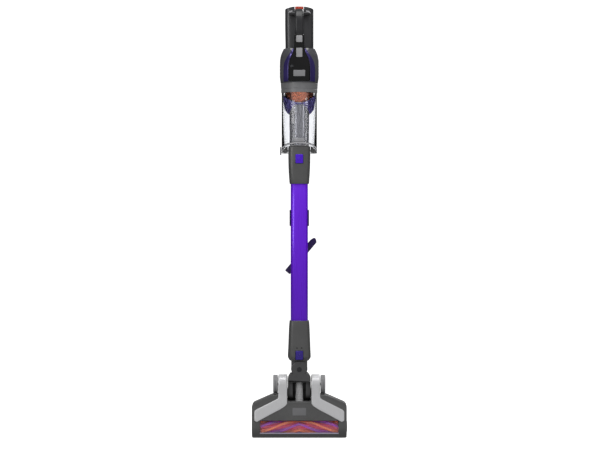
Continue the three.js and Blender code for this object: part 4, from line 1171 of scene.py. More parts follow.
    def tufts(self, x: Array, phase: float, half: float) -> list[Shell]:
        """Builds one row's tufts, three abreast.

        Formula: stems of four corners at the root and at the tip, spread sideways by their place abreast.

        Args:
            x: their places along the roll.
            phase: the row's angle at the middle.
            half: half the row's length.

        Returns:
            One shell that holds every tuft of the row.
        """
        wide, shells = 0.85, []
        for lane in (-1.0, 0.0, 1.0):
            count = np.arange(len(x))
            shift = x + lane * 0.5
            base = phase + self.row_twist * np.abs(shift) / half + lane * 0.055
            tip = base + 0.05 * np.sin(count * 2.3 + lane * 1.7)
            reach = self.roll_radius - 0.5 * (0.5 + 0.5 * np.sin(count * 1.37 + lane))
            corners = np.array([(-1, -1), (1, -1), (1, 1), (-1, 1)], float) * wide
            rings = []
            for radius, angle, grow in ((np.full(len(x), self.core_radius - 0.5), base, 0.9),
                    (reach * 0.55 + self.core_radius * 0.45, (base + tip) / 2, 1.0), (reach, tip, 1.15)):
                a = angle[:, None] + corners[None, :, 1] * grow / radius[:, None]
                r = np.broadcast_to(radius[:, None], a.shape)
                rings.append(np.stack([shift[:, None] + corners[None, :, 0] * grow,
                    self.roll_y + r * np.cos(a), self.roll_z + r * np.sin(a)], -1))
            block = np.stack(rings, axis=1)
            flat = block.reshape(-1, 3)
            start = (np.arange(len(x)) * 12)[:, None, None]
            k, i = np.arange(2)[:, None] * 4, np.arange(4)[None, :]
            side = np.stack([k + i, k + (i + 1) % 4, k + 4 + (i + 1) % 4, k + 4 + i], -1).reshape(1, 8, 4)
            lids = np.array([[[3, 2, 1, 0], [8, 9, 10, 11]]])
            quads = (np.concatenate([side, lids], axis=1) + start).reshape(-1, 4)
            shells.append(Shell(flat, quads).outward())
        return shells

    def wheels(self) -> None:
        """Builds the wheels: a turned tyre with a groove and a spoked hub, on an axle."""
        inner = self.bay_half + self.arm_wide + 1.0
        r = self.wheel_radius
        tyre = [(r - 6.5, 12.3), (r - 6.0, 12.5), (r - 1.6, 12.5), (r - 0.5, 12.0), (r, 10.6), (r, 7.2),
            (r - 0.9, 6.9),
            (r - 0.9, 5.6), (r, 5.3), (r, 1.9), (r - 0.5, 0.6), (r - 1.6, 0.0), (r - 10, 0.0), (r - 10, 9.4),
            (r - 6.8, 9.8)]
        hub = disc_profile(15.2, 0.4, 9.6, 0.6)
        cap = disc_profile(8.0, 1.0, 12.0, 1.2)
        axle = disc_profile(3.0, -11.6, 1.2, 0.3)
        for name, body, sign in (("wheel_right", "right_wheel", 1), ("wheel_left", "left_wheel", -1)):
            centre = (inner, self.wheel_y, self.wheel_z)
            spokes = [slab(oblong(6.2, 1.1, 0.8, 12.5, 0.0), 9.0, 10.9, Facing.SIDE, 0.3).turned(0,
                k * TAU / 6)
                .moved(*centre) for k in range(6)]
            parts = [revolve(tyre, 0, centre, 96, True), revolve(hub, 0, centre, 64),
                revolve(cap, 0, centre, 48),
                revolve(axle, 0, centre, 32), *spokes]
            piece(name + "_disc", parts if sign > 0 else [p.mirrored() for p in parts], Palette.wheel, body,
                [name])
        for name, body, x in (("roller_right", "right_roller", 81.5), ("roller_left", "left_roller", -81.5)):
            drum = revolve(disc_profile(5.0, -6.0, 6.0, 1.0), 0, (x, self.sole, 64.5), 40)
            piece(name + "_drum", [drum], Palette.roller, body, [name])

    def fittings(self) -> None:
        """Builds the end cap and the badge plate, and dresses the parts kept from the CAD."""
        centre = (0.0, self.roll_y, self.roll_z)
        ring_ = [(3.2, 107.7), (13.4, 107.7), (13.9, 108.3), (13.9, 126.7), (13.2, 127.3), (11.5, 127.3),
            (11.2, 126.6), (3.2, 126.6)]
        slot_ = slab(oblong(8.0, 1.4, 1.0), 126.2, 127.2, Facing.SIDE, 0.2).moved(0.0, self.roll_y,
            self.roll_z)
        piece("roll_end_cap", [revolve(ring_, 0, centre, 64, True), slot_], Palette.cap, "head",
            ["brush_end_cap"])
        lean = math.atan(self.slope)
        badge = slab(oblong(18.0, 10.0, 2.0), -0.5, 0.6, Facing.FRONT, 0.35).turned(0, -lean)
        piece("head_badge", [badge.moved(0.0, float(self.front(72.0)), 72.0)], Palette.badge_dark, "head")
        keep("sole_plate", Palette.sole, 0.5)
        keep("brush_motor", Palette.can, 0.6)
        keep("motor_pulley", Palette.steel, 0.3)
        keep("drive_belt", Palette.belt, 0.3)

    def build(self) -> None:
        """Builds the whole head."""
        self.cover()
        self.nose_and_cheeks()
        self.window()
        self.arms()
        self.bands()
        self.roll()
        self.wheels()
        self.fittings()


# ---------------------------------------------------------------- neck


@dataclass
class Neck:
    """The neck: a fork that pitches on the head, a knuckle that swings, and a ribbed hose through both."""

    pitch_y: float = 7.0
    pitch_z: float = 120.0
    knee_z: float = 184.0
    half: float = 22.0
    half_deep: float = 22.0
    drum_half: float = 12.5
    fork_inner: float = 17.5
    fork_outer: float = 30.5
    eye: float = 14.0
    coupler_low: float = 207.0
    ribs: int = 17

    def fork(self) -> None:
        """Builds the fork: two arms, a floor and two cheeks, each an outline with a depth and soft edges."""
        side = np.concatenate([arc((self.pitch_y, self.pitch_z), self.eye, 180, 360, 40),
            [[self.pitch_y + self.eye, 153.5], [self.pitch_y - self.eye, 153.5]]])
        arm = slab(side, self.fork_inner, self.fork_outer, Facing.SIDE, 1.5, 1.8)
        cheek = np.concatenate([rounded([(-30.5, 150.0, 2), (30.5, 150.0, 2), (30.5, 162.0, 5),
            (22.0, 176.0, 6)], 8)[8:],
            arc((0.0, self.knee_z), self.half, 0, 180, 48),
            rounded([(-22.0, 176.0, 6), (-30.5, 162.0, 5), (-30.5, 150.0, 2), (0.0, 150.0, 1)], 8)[:27]])
        plates = [slab(cheek, -self.half_deep, -self.drum_half - 0.4, Facing.FRONT, 2.4, 0.4, 6),
            slab(cheek, self.drum_half + 0.4, self.half_deep, Facing.FRONT, 0.4, 2.4, 6)]
        floor = slab(oblong(30.2, 5.4, 1.5, 0.0, 155.6), -13.4, 13.4, Facing.FRONT, 0.2)
        # Web at the back of the fork: a real plate, coloured black as painted shade between the arms behind
        # the hose.
        web = slab(oblong(18.0, 12.0, 1.0, 0.0, 140.0), 15.2, 19.6, Facing.FRONT, 0.4)
        piece("fork_web_painted_shade", [web], Palette.sole, "yoke")
        piece("fork", [*both_sides(arm), *plates, floor], Palette.yoke, "yoke", ["neck_yoke"])
        head_ = revolve(disc_profile(6.5, -0.7, 0.6, 0.5), 1, (0.0, -self.half_deep, self.knee_z), 48)
        slot_ = slab(oblong(4.0, 0.6, 0.3), -0.9, 0.0, Facing.FRONT, 0.1).moved(0.0, -self.half_deep,
            self.knee_z)
        piece("swing_cap", [head_, slot_], Palette.cap, "yoke")
        for name in ("swing_pin", "pitch_pin_right", "pitch_pin_left"):
            keep(name, Palette.steel, 0.4)

    def knuckle(self) -> None:
        """Builds the knuckle: a drum with a web, and the tube that locks into the coupler."""
        half = self.half - 0.5
        web = np.concatenate([arc((0.0, self.knee_z), half, 180, 360, 56),
            [[half, self.coupler_low - 0.4], [-half, self.coupler_low - 0.4]]])
        drum = slab(web, -self.drum_half, self.drum_half, Facing.FRONT, 1.0)
        tube = revolve([(10.0, 206.0), (14.6, 206.0), (15.0, 206.5), (15.0, 254.2), (14.4, 254.8),
            (10.0, 254.8)], 2, (0, 0, 0), 72, True)
        rings = [revolve([(14.8, z - 0.9), (15.3, z - 0.5), (15.3, z + 0.5), (14.8, z + 0.9)], 2, (0, 0, 0),
            64, True)
            for z in (214.0, 247.0)]
        piece("knuckle", [drum, tube, *rings], Palette.neck, "neck", ["neck_stub"])

    def hose(self) -> None:
        """Builds the ribbed hose between head and fork.

        Formula: its radius swells by a cosine of the height, and its centre leans from the pitch axis to the
        wand's axis over the lower four fifths.
        """
        low, high = 85.0, 164.0
        z = np.linspace(low, high, self.ribs * 10 + 1)
        t = (z - low) / (high - low)
        spare = np.maximum(0.0, 1 - t / 0.8)
        radius = 9.0 + 2.5 * spare - 0.9 * (0.5 - 0.5 * np.cos(t * self.ribs * TAU))
        angle = np.linspace(0.0, TAU, 48, endpoint=False)[None, :]

        def rings(r: Array) -> Array:
            """Returns the rings of that radius along the hose."""
            return np.stack([r[:, None] * np.cos(angle),
                self.pitch_y * spare[:, None] + r[:, None] * np.sin(angle),
                np.broadcast_to(z[:, None], (len(z), 48))], -1)

        skin = tower(np.concatenate([rings(radius), rings(radius - 1.4)[::-1]]), ring_like=True)
        made = piece("ribbed_hose", [skin], Palette.hose, "", ["neck_hose"], 60)
        start, end = SITE.metres(np.array([0.0, self.pitch_y, 96.0])), SITE.metres(np.array([0.0, 1.0,
            146.0]))
        Vector(start)
        Vector(end)
        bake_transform(made)

    def build(self) -> None:
        """Builds the whole neck."""
        self.fork()
        self.knuckle()
        self.hose()


# ---------------------------------------------------------------- wand


@dataclass
class Wand:
    """The wand: tube, cable channel, both couplers with their buttons, and the clip with its tool bar."""

    half_wide: float = 23.0
    half_deep: float = 19.5
    wall: float = 2.2
    low: float = 277.0
    high: float = 712.0
    lower_low: float = 207.0
    lower_top: float = 313.0
    upper_low: float = 676.0
    slant_z: float = 761.0
    slant_y: float = 18.0
    slope: float = 0.4
    lower_key_z: float = 222.0
    upper_key_z: float = 742.0
    channel_back: float = 25.9
    saddle_low: float = 564.0
    saddle_tall: float = 43.0
    pivot_z: float = 478.0

    def tube(self) -> None:
        """Builds the tube: oblong sections of power 4 with rounded ends, hollow all through."""
        a, b = self.half_wide, self.half_deep
        outer = np.array([(self.low, a - 0.5, b - 0.5, 4, 0), (self.low + 0.5, a, b, 4, 0),
            (self.high - 0.5, a, b, 4, 0), (self.high, a - 0.5, b - 0.5, 4, 0)])
        inner = np.array([(self.low, a - self.wall, b - self.wall, 4, 0),
            (self.high, a - self.wall, b - self.wall, 4, 0)])
        piece("wand_profile", [hollow(outer, inner, 128)], Palette.violet, "wand", ["wand_tube"], 50)
        rib = slab(Outline([(-12.0, 17.0, 0.3), (12.0, 17.0, 0.3), (12.0, self.channel_back, 2.5),
            (-12.0, self.channel_back, 2.5)]),
            self.lower_top + 1, self.upper_low - 1, Facing.TOP, 0.6)
        piece("cable_cover", [rib], Palette.channel, "wand", ["cable_channel"])

    def couplers(self) -> None:
        """Builds both couplers: smooth stacks of oblong sections over a socket for the wand."""
        rows = smooth_rows([(self.lower_low, 25.0, 21.0, 3.0, 0), (self.lower_low + 4, 28.0, 23.0, 3.2, 0),
            (self.lower_low + 10, 30.5, 26.0, 3.5, 0), (self.lower_low + 34, 29.5, 26.0, 4.0, 0),
            (self.lower_top - 12, 27.0, 23.5, 4.0, 0), (self.lower_top - 0.6, 25.8, 22.3, 4.0, 0)], 44)
        lip = np.array([(self.lower_top, 25.2, 21.7, 4.0, 0)])
        a, b = self.half_wide + 0.4, self.half_deep + 0.4
        inner = np.array([(self.lower_low, 15.5, 15.5, 2, 0), (self.lower_low + 50, 15.5, 15.5, 2, 0),
            (self.lower_low + 50.2, 13, 13, 2, 0), (276.4, 13, 13, 2, 0), (276.6, a, b, 4, 0),
            (self.lower_top, a, b, 4, 0)])
        piece("coupler_lower", [hollow(np.concatenate([rows, lip]), inner)], Palette.coupler, "wand",
            ["lower_coupler"], 40)

        high = 775.0
        rows = smooth_rows([(self.upper_low, 25.3, 21.8, 4, 0), (self.upper_low + 0.7, 25.8, 22.3, 4, 0),
            (self.upper_low + 14, 27.0, 25.0, 4, 0), (self.upper_low + 50, 28.9, 26.6, 4, 0),
            (high, 29.5, 27.2, 4, 0)], 40)
        inner = np.array([(self.upper_low, a, b, 4, 0), (712.4, a, b, 4, 0), (712.6, 16, 16, 2, 0),
            (716.0, 16, 16, 2, 0),
            (716.2, 21.4, 21.4, 2, 0), (high, 21.4, 21.4, 2, 0)])

        def slanted(rings: Array) -> Array:
            """Ends the rings on the slant of the bin's door, keeping the lower ones level."""
            z = rings[..., 2]
            top = self.slant_z - 4.6 + self.slope * np.maximum(self.slant_y - rings[..., 1], 0.0)
            return np.concatenate([rings[..., :2],
                np.where(z > 725, 725 + (z - 725) * (top - 725) / (high - 725), z)[..., None]], -1)

        piece("coupler_upper", [hollow(rows, inner, lift=slanted)], Palette.coupler, "wand",
            ["upper_coupler"], 40)

    def keys(self) -> None:
        """Builds the release buttons: crowned pads with a scooped ridge, each in a dark frame."""
        for name, body, z, y, back, finish in (
                ("lower_release_button", "lower_key", self.lower_key_z, -27.0, -19.0, Palette.dull_key),
                ("upper_release_button", "upper_key", self.upper_key_z, -28.0, -23.6, Palette.bright_key)):
            pad = slab(oblong(10.0, 12.0, 3.0, 0.0, z), y, back, Facing.FRONT, 1.1, 0.3)
            ridges = [slab(oblong(6.2, 0.45, 0.4, 0.0, z + k * 2.0), y - 0.35, y + 0.4, Facing.FRONT,
                0.3) for k in (-2, -1, 0, 1, 2)]
            piece(name + "_pad", [pad, *ridges], finish, body, [name])
            front = y + (0.75 if z < 500 else 1.05)
            rim = frame_slab(oblong(11.2, 13.2, 3.6, 0.0, z), oblong(10.35, 12.35, 3.1, 0.0, z), front,
                front + 4.0, Facing.FRONT, 0.25)
            piece(name + "_rim", [rim], Palette.sole, "wand")
        marks = [slab(Outline([(x - 2.2, 240.0, 0.2), (x + 2.2, 240.0, 0.2), (x, 244.0, 0.2)], 3), -26.4,
            -25.0, Facing.FRONT, 0.1)
            for x in (-6.0, 6.0)]
        piece("coupler_arrows", marks, Palette.sole, "wand")

    def clip(self) -> None:
        """Builds the C-shaped clip round the tube's sides and back, its spine, and the tilted tool bar.

        Formula: the clip is a grid of angle and height on two oblongs of power 4, open towards the front.
        """
        t = np.linspace(math.radians(-32), math.radians(212), 90)[:, None]
        z = np.array([0.0, 0.8, self.saddle_tall - 0.8, self.saddle_tall])[None, :] + self.saddle_low

        def grid(a: float, b: float, ease: float) -> Array:
            """Returns the oblong of those half widths, drawn in by the ease at top and bottom."""
            trim = np.array([ease, 0.0, 0.0, ease])[None, :]
            cos, sin = np.cos(t), np.sin(t)
            x = (a - trim) * np.sign(cos) * np.abs(cos) ** 0.5
            y = (b - trim) * np.sign(sin) * np.abs(sin) ** 0.5
            return np.stack([*np.broadcast_arrays(x, y, z)], axis=-1)

        shell = sheet(grid(26.0, 22.5, 0.7), grid(23.4, 19.9, 0.0))
        back = slab(Outline([(-15, 19.0, 0.5), (15, 19.0, 0.5), (15, 29.9, 3), (-15, 29.9, 3)]),
            self.saddle_low,
            self.saddle_low + self.saddle_tall, Facing.TOP, 1.0)
        spine = slab(oblong(9.0, 50.5, 5.0, 0.0, 518.5), 26.3, 29.9, Facing.FRONT, 0.8)
        piece("clip", [shell, back, spine], Palette.saddle, "wand", ["caddy_saddle"], 40)
        keep("tool_bar_pin", Palette.steel, 0.3)
        y0 = 30.3
        shape = Outline([(-50, -8.5, 3), (62, -8.5, 2), (68, -1.5, 2), (68, 4.5, 2), (58, 8.5, 3),
            (-50, 8.5, 3)])
        bar = slab(shape, y0, y0 + 9.0, Facing.FRONT, 1.6)
        pegs = [revolve([(0.2, 7.8), (5.2, 7.8), (6.5, 9.5), (5.6, 11.0), (5.6, 15.0), (6.5, 15.8),
            (5.8, 17.0), (0.2, 17.0)], 1, (x, y0, 0.0), 48)
            for x in (50.0, -38.0)]
        tilt = math.radians(-50)
        parts = [part.turned(1, tilt).moved(0.0, 0.0, self.pivot_z) for part in (bar, *pegs)]
        piece("swivel_bar", parts, Palette.bar, "tool_holder", ["tool_bar"])

    def build(self) -> None:
        """Builds the whole wand."""
        self.tube()
        self.couplers()
        self.keys()
        self.clip()


# ---------------------------------------------------------------- dust bin


@dataclass
class DustBin:
    """The clear bin with its slanting lower end, the duct inside it, and the shroud under the collar."""

    shroud_radius: float = 43.0
    shroud_rise: float = 22.0
    centre_y: float = 18.0
    radius: float = 47.0
    wall: float = 2.0
    slant_z: float = 761.0
    slope: float = 0.4
    top: float = 918.0
    hinge_z: float = 759.5

    def rise(self, y: Array) -> Array:
        """Returns how far the slant stands above its level part at y."""
        return self.slope * np.maximum(self.centre_y - y, 0.0)

    def slanted(self, fixed_above: float) -> Callable[[Array], Array]:
        """Gives a change of rings that sets their lower end on the slant.

        Args:
            fixed_above: rings from this height up stay level.

        Returns:
            The function that moves the rings.
        """

        def change(rings: Array) -> Array:
            """Adds the slant's rise to the low rings."""
            share = np.clip((fixed_above - rings[..., 2]) / (fixed_above - self.slant_z), 0.0, 1.0)
            return np.concatenate([rings[..., :2],
                (rings[..., 2] + share * self.rise(rings[..., 1]))[..., None]], -1)

        return change

    def bin(self) -> None:
        """Builds the bin's wall, its lower rim and seal, its lugs, its catch and the door's latch; the rim is
        an opaque light grey band that paints the bright reflection on the clear bin's edge.
        """
        r, c = self.radius, self.centre_y
        outer = np.array([(self.slant_z, r - 0.3, r - 0.3, 2, c), (self.slant_z + 0.4, r, r, 2, c),
            (self.top - 0.4, r, r, 2, c), (self.top, r - 0.3, r - 0.3, 2, c)])
        inner = np.array([(self.slant_z, r - self.wall, r - self.wall, 2, c),
            (self.top, r - self.wall, r - self.wall, 2, c)])
        wall = hollow(outer, inner, 160, self.slanted(self.slant_z + 60))
        piece("bin_wall", [wall], Palette.clear, "hand_unit", ["dust_bin"], 50)
        lug = slab(Outline([(64.6, 756.5, 1), (71.5, 756.0, 3), (72.9, 761.0, 3), (71.0, 770.0, 2),
            (64.6, 771.5, 1)]),
            13.0, 18.0, Facing.SIDE, 0.5)
        piece("bin_lugs", both_sides(lug), Palette.catch, "hand_unit")
        keep("door_pin", Palette.steel, 0.2)
        # The rim band is light grey as a painted reflection on the clear bin's lower edge.
        band = np.array([(self.slant_z + 3.2, r + 0.1, r + 0.1, 2, c),
            (self.slant_z + 3.4, r + 0.45, r + 0.45, 2, c),
            (self.slant_z + 6.4, r + 0.45, r + 0.45, 2, c), (self.slant_z + 6.6, r + 0.1, r + 0.1, 2, c)])
        under = np.array([(self.slant_z + 3.2, r - 0.4, r - 0.4, 2, c),
            (self.slant_z + 6.6, r - 0.4, r - 0.4, 2, c)])
        piece("bin_rim", [hollow(band, under, 160, self.slanted(self.slant_z + 600))], Palette.rim,
            "hand_unit", (), 50)
        line = np.array([(self.slant_z + 6.9, r - 0.3, r - 0.3, 2, c),
            (self.slant_z + 7.0, r + 0.3, r + 0.3, 2, c),
            (self.slant_z + 7.9, r + 0.3, r + 0.3, 2, c), (self.slant_z + 8.0, r - 0.3, r - 0.3, 2, c)])
        under = np.array([(self.slant_z + 6.9, r - 0.5, r - 0.5, 2, c),
            (self.slant_z + 8.0, r - 0.5, r - 0.5, 2, c)])
        piece("bin_rim_seal", [hollow(line, under, 160, self.slanted(self.slant_z + 600))], Palette.sole,
            "hand_unit", (), 50)
        arcs = arc((0.0, c), r + 2.4, -104.0, -76.0, 24)
        back = arc((0.0, c), r + 0.5, -76.0, -104.0, 24)
        catch = slab(np.concatenate([arcs, back]), 787.0, 797.0, Facing.TOP, 0.5)
        grip = [slab(np.concatenate([arc((0.0, c), r + 2.62, -98, -82, 12),
            arc((0.0, c), r + 2.0, -82, -98, 12)]), z, z + 0.9, Facing.TOP, 0.2)
            for z in (789.0, 791.0, 793.0)]
        piece("catch_slide", [catch, *grip], Palette.catch, "bin_release", ["bin_catch"])
        latch = slab(Outline([(11.5, 753.4, 2), (24.5, 753.4, 2), (24.5, 774.6, 3), (11.5, 774.6, 3)]), -51.3,
            -47.9, Facing.SIDE, 0.8)
        piece("lid_latch_lever", [latch], Palette.door_latch, "lid_latch", ["door_latch"])

    def door(self) -> None:
        """Builds the door: a disc on the slant, cut off behind the coupler, and its hinge knuckle."""
        r, c = self.radius + 0.3, self.centre_y
        start = -math.degrees(math.acos(30.5 / r))
        rim = arc((0.0, c), r, start, 180 - start, 120)
        plate = np.concatenate([rim, [[-30.5, 31.2], [30.5, 31.2]]])
        disc = slab(plate, self.slant_z - 3.0, self.slant_z - 0.4, Facing.TOP, 0.4)
        sloped = warped(disc, lambda p: np.column_stack([p[:, :2], p[:, 2] + self.rise(p[:, 1])]))
        knuckle = revolve(disc_profile(3.3, -12.5, 12.5, 0.5), 0, (0.0, 69.0, self.hinge_z), 40)
        piece("bin_lid_plate", [sloped, knuckle], Palette.clear, "bin_lid", ["bin_door"])

    def duct(self) -> None:
        """Builds the inlet duct: a tube on the wand's axis, its spigot and a flange on the slant."""
        high = 885.6
        outer = np.array([(self.slant_z - 3.0, 26.3, 26.3, 2, 0), (self.slant_z + 8, 26.5, 26.5, 2, 0),
            (high - 0.6, 26.5, 26.5, 2, 0), (high, 25.9, 25.9, 2, 0)])
        inner = np.array([(self.slant_z - 3.0, 18.5, 18.5, 2, 0), (high, 18.5, 18.5, 2, 0)])
        tube = hollow(outer, inner, 96, self.slanted(self.slant_z + 50))
        spigot = revolve([(18.5, 720.2), (20.6, 720.2), (21.0, 720.8), (21.0, 762.0), (18.5, 762.0)], 2,
            (0, 0, 0), 72, True)
        plate = slab(np.squeeze(super_ring(29.5, 27.2, 4, 96)), self.slant_z - 3.0, self.slant_z - 0.4,
            Facing.TOP, 0.5)
        flange = warped(plate, lambda p: np.column_stack([p[:, :2], p[:, 2] + self.rise(p[:, 1])]))
        piece("duct", [tube, spigot], Palette.duct, "hand_unit", ["inlet_duct"], 40)
        piece("duct_flange", [flange], Palette.collar, "hand_unit")

    def cyclone(self) -> None:
        """Builds the collar, the copper screen, the shroud with its ribs, and the filter's folds."""
        c = (0.0, self.centre_y, 0.0)
        collar = [(38, 918.4), (47.6, 918.4), (48.2, 919.2), (48.6, 926.5), (48.0, 927.1), (48.0, 928.6),
            (48.7, 929.2),
            (49.5, 943.6), (49.0, 944.3), (38, 944.3)]
        piece("collar", [revolve(collar, 2, c, 160, True)], Palette.collar, "hand_unit", ["collar_ring"], 28)
        mesh = [(33.0, 891.0), (35.0, 891.0), (40.0, 917.8), (37.6, 917.8)]
        piece("copper_screen", [revolve(mesh, 2, c, 128, True)], Palette.copper, "hand_unit",
            ["cyclone_mesh"], 28)
        skirt = [(27.2, 860.0), (29.0, 860.2), (33.5, 864.0), (39.5, 872.0), (43.0, 882.0), (43.0, 889.2),
            (42.4, 890.0),
            (35.4, 890.0), (27.2, 888.0)]
        rib = slab(np.array([(29.0, 862.0), (40.0, 873.0), (43.6, 882.5), (43.6, 888.0), (42.0, 888.6),
            (30.0, 866.0)]), -0.6, 0.6, Facing.SIDE, 0.2)
        ribs = [rib.turned(2, k * TAU / 36).moved(0.0, self.centre_y, 0.0) for k in range(36)]

        def swept(points: Array) -> Array:
            """Raises the top edge by the square of x over the radius, times the rise."""
            share = np.clip((points[:, 2] - 876.0) / 14.0, 0.0,
                1.0) * self.shroud_rise * (points[:, 0] / self.shroud_radius) ** 2
            return np.column_stack([points[:, :2], points[:, 2] + share])

        shroud = [warped(shell, swept) for shell in (revolve(skirt, 2, c, 128, True), *ribs)]
        piece("shroud", shroud, Palette.skirt, "hand_unit", ["cyclone_skirt"], 28)
        pleats = 60
        t = np.linspace(0.0, TAU, pleats * 2, endpoint=False)
        reach = np.where(np.arange(pleats * 2) % 2, 36.4, 30.0)[:, None]
        star = np.stack([np.cos(t), np.sin(t)], axis=1) * reach + np.array([0.0, self.centre_y])
        piece("filter_folds", [slab(star, 920.6, 942.0, Facing.TOP, 0.1)], Palette.paper, "hand_unit",
            ["pleated_filter"], 20)

    def build(self) -> None:
        """Builds the whole bin."""
        self.bin()
        self.door()
        self.duct()
        self.cyclone()


# ---------------------------------------------------------------- hand unit


@dataclass
class HandUnit:
    """The hand unit: housing with its arch, console and keys, grip, dock, battery and wall boss."""

    centre_y: float = 18.0
    low: float = 944.8
    shoulder: float = 1000.8
    top: float = 1034.8
    dock_half: float = 38.0
    dock_low: float = 1035.2
    dock_top: float = 1138.7
    arch_rise: float = 7.0
    dock_front: float = -22.0
    pack_back: float = 60.0
    console_low: float = 946.8
    console_high: float = 1064.8
    console_low_y: float = -38.0
    console_high_y: float = -92.0

    def rows(self, offset: float, count: int = 70) -> Array:
        """Returns the housing's sections, moved out by an offset."""
        table = [(self.low, 50, 50, 2, 18), (self.low + 18, 52, 52, 2, 18), (self.shoulder, 52, 52, 2, 18),
            (self.shoulder + 15.3, 50, 52, 2.2, 18), (self.shoulder + 25.5, 46.5, 48, 2.6, 18.4),
            (self.top, 42, 42, 3.6, 19)]
        rows = smooth_rows(table, count)
        rows[:, 1:3] += offset
        return rows

    def front_at(self, x: Array, z: Array, offset: float) -> Array:
        """Gives the housing's front surface.

        Formula: y is the centre less b (1 - |x / a|^p)^(1 / p), with a, b and p from the section at z.

        Args:
            x: distance from the middle.
            z: height.
            offset: distance out from the housing.

        Returns:
            y at those places.
        """
        rows = self.rows(offset)
        a, b, p, c = (np.interp(z, rows[:, 0], rows[:, k]) for k in (1, 2, 3, 4))
        return c - b * np.maximum(1 - np.minimum(np.abs(x) / a, 1) ** p, 0.0) ** (1 / p)

    def housing(self) -> None:
        """Builds the housing, its louvres, and the plum arch that hugs it beside the console."""
        rows = self.rows(0.0)
        lower = np.array([(self.low, 49.4, 49.4, 2, 18)])
        piece("housing", [stack(np.concatenate([lower, rows[1:]]), 160)], Palette.shell, "hand_unit",
            ["motor_housing"], 40)
        slots = []
        for k in range(4):
            z = self.low + 18.0 + 9 * k
            t = np.radians(np.linspace(-15.5, 15.5, 30))[:, None]
            h = np.array([-1.9, -1.5, 1.5, 1.9])[None, :] + z
            out, under = (np.stack(np.broadcast_arrays(r * np.cos(t), self.centre_y + r * np.sin(t), h),
                -1) for r in (52.12, 50.5))
            slots.append(sheet(out, under))
        piece("vent_slots", both_sides(*slots), Palette.sole, "hand_unit", (), 50)
        z = np.linspace(self.console_low, self.top - 1.0, 90)
        inner = np.interp(z, [946.8, 985, 992, 998, 1004, 1012, 1020, 1026, 1034],
            [29.2, 29.2, 28.9, 27.8, 25.8, 21.6, 17.6, 15.6, 14.6])
        outer = np.interp(z, [946.8, 978, 988, 996, 1004, 1012, 1020, 1028, 1034],
            [42, 42, 41.5, 39.8, 36.6, 31.4, 25.6, 20.2, 17.4])
        t = np.linspace(0.0, 1.0, 26)[None, :]
        x = inner[:, None] * (1 - t) + outer[:, None] * t
        height = np.broadcast_to(z[:, None], x.shape)
        edge = np.minimum(np.minimum(x - inner[:, None], outer[:, None] - x), 1.2)
        grids = [np.stack([x, self.front_at(x, height, d) + ((1.2 - edge) * 0.5 if d > 1 else 0), height],
            -1) for d in (1.7, 0.2)]
        piece("arch", both_sides(sheet(*grids)), Palette.arch, "hand_unit", ["side_arch"], 50)
        keep("suction_motor", Palette.can, 0.8)
        keep("motor_mount", Palette.mount, 0.4)
        keep("fan_impeller", Palette.fan, 0.2)
        keep("wall_boss", Palette.boss, 0.8)
        keep("control_board", Palette.board, 0.2)

    def slope_front(self, z: Array | float) -> Array:
        """Returns y of the console's front line at z."""
        share = (np.asarray(z, float) - self.console_low) / (self.console_high - self.console_low)
        return self.console_low_y + share * (self.console_high_y - self.console_low_y)

    def console(self) -> None:
        """Builds the console: its rounded outline carried back from a sloping, crowned front.

        Formula: rings of the outline inset by d stand behind the front line by a quarter circle of radius 3,
        and the middle is crowned by up to a millimetre.
        """
        low = self.console_low
        outline = Outline([(-28, low, 3.5), (28, low, 3.5), (28, low + 52, 22), (13, low + 78, 12),
            (13, self.console_high, 6),
            (-13, self.console_high, 6), (-13, low + 78, 12), (-28, low + 52, 22)], 14)
        z = outline.ring()[:, 1]
        back = np.interp(z, [low, low + 57, low + 68, self.console_high],
            [-26, -26, float(self.slope_front(low + 68)) + 8.2, self.console_high_y + 8.2])
        rings = [Facing.FRONT.lift(outline.ring(), back)]
        for angle in np.linspace(0.0, math.pi / 2, 9):
            d = 3.0 * (1 - math.cos(angle))
            ring = outline.ring(d)
            rings.append(Facing.FRONT.lift(ring,
                self.slope_front(ring[:, 1]) + 3.0 * (1 - math.sin(angle)) + 0.2))
        piece("console", [tower(np.stack(rings))], Palette.console, "hand_unit", ["console_cover"], 30)
        lean = math.atan2(self.console_low_y - self.console_high_y, self.console_high - self.console_low)

        def on_slope(shell: Shell, x: float, z: float) -> Shell:
            """Sets a shell made round the origin on the console's front."""
            return shell.turned(0, lean).moved(x, float(self.slope_front(z)), z)

        def ridge(z: float) -> Shell:
            """Returns one small ridge of a key at that height."""
            return slab(oblong(4.5, 0.4, 0.3, 0.0, z), -1.75, -1.2, Facing.FRONT, 0.2)

        for name, body, z, half in (("power_button", "power_key", low + 106, 9.0),
                ("speed_button", "speed_key", low + 72, 12.5)):
            pad = slab(oblong(8.0, half, 2.4), -1.4, 4.0, Facing.FRONT, 0.9, 0.3)
            parts = [pad] + ([ridge(k * 2.2) for k in (-3, 3)] if half > 10 else [ridge(0.0)])
            piece(name + "_cap", [on_slope(part, 0.0, z) for part in parts], Palette.key, body, [name])
            rim = frame_slab(oblong(9.0, half + 1.0, 3.0), oblong(8.35, half + 0.35, 2.6), -0.45, 1.5,
                Facing.FRONT, 0.2)
            piece(name + "_rim", [on_slope(rim, 0.0, z)], Palette.sole, "hand_unit")
        badge = slab(oblong(15.5, 8.5, 1.6), -0.45, 1.0, Facing.FRONT, 0.4)
        piece("badge_plate", [on_slope(badge, 0.0, low + 20)], Palette.badge, "hand_unit", ["console_badge"])
        lens = slab(oblong(4.0, 3.0, 1.2), -0.3, 1.0, Facing.FRONT, 0.3)
        piece("indicator", [on_slope(lens, -20.0, low + 38)], Palette.lens, "hand_unit", ["indicator_lens"])

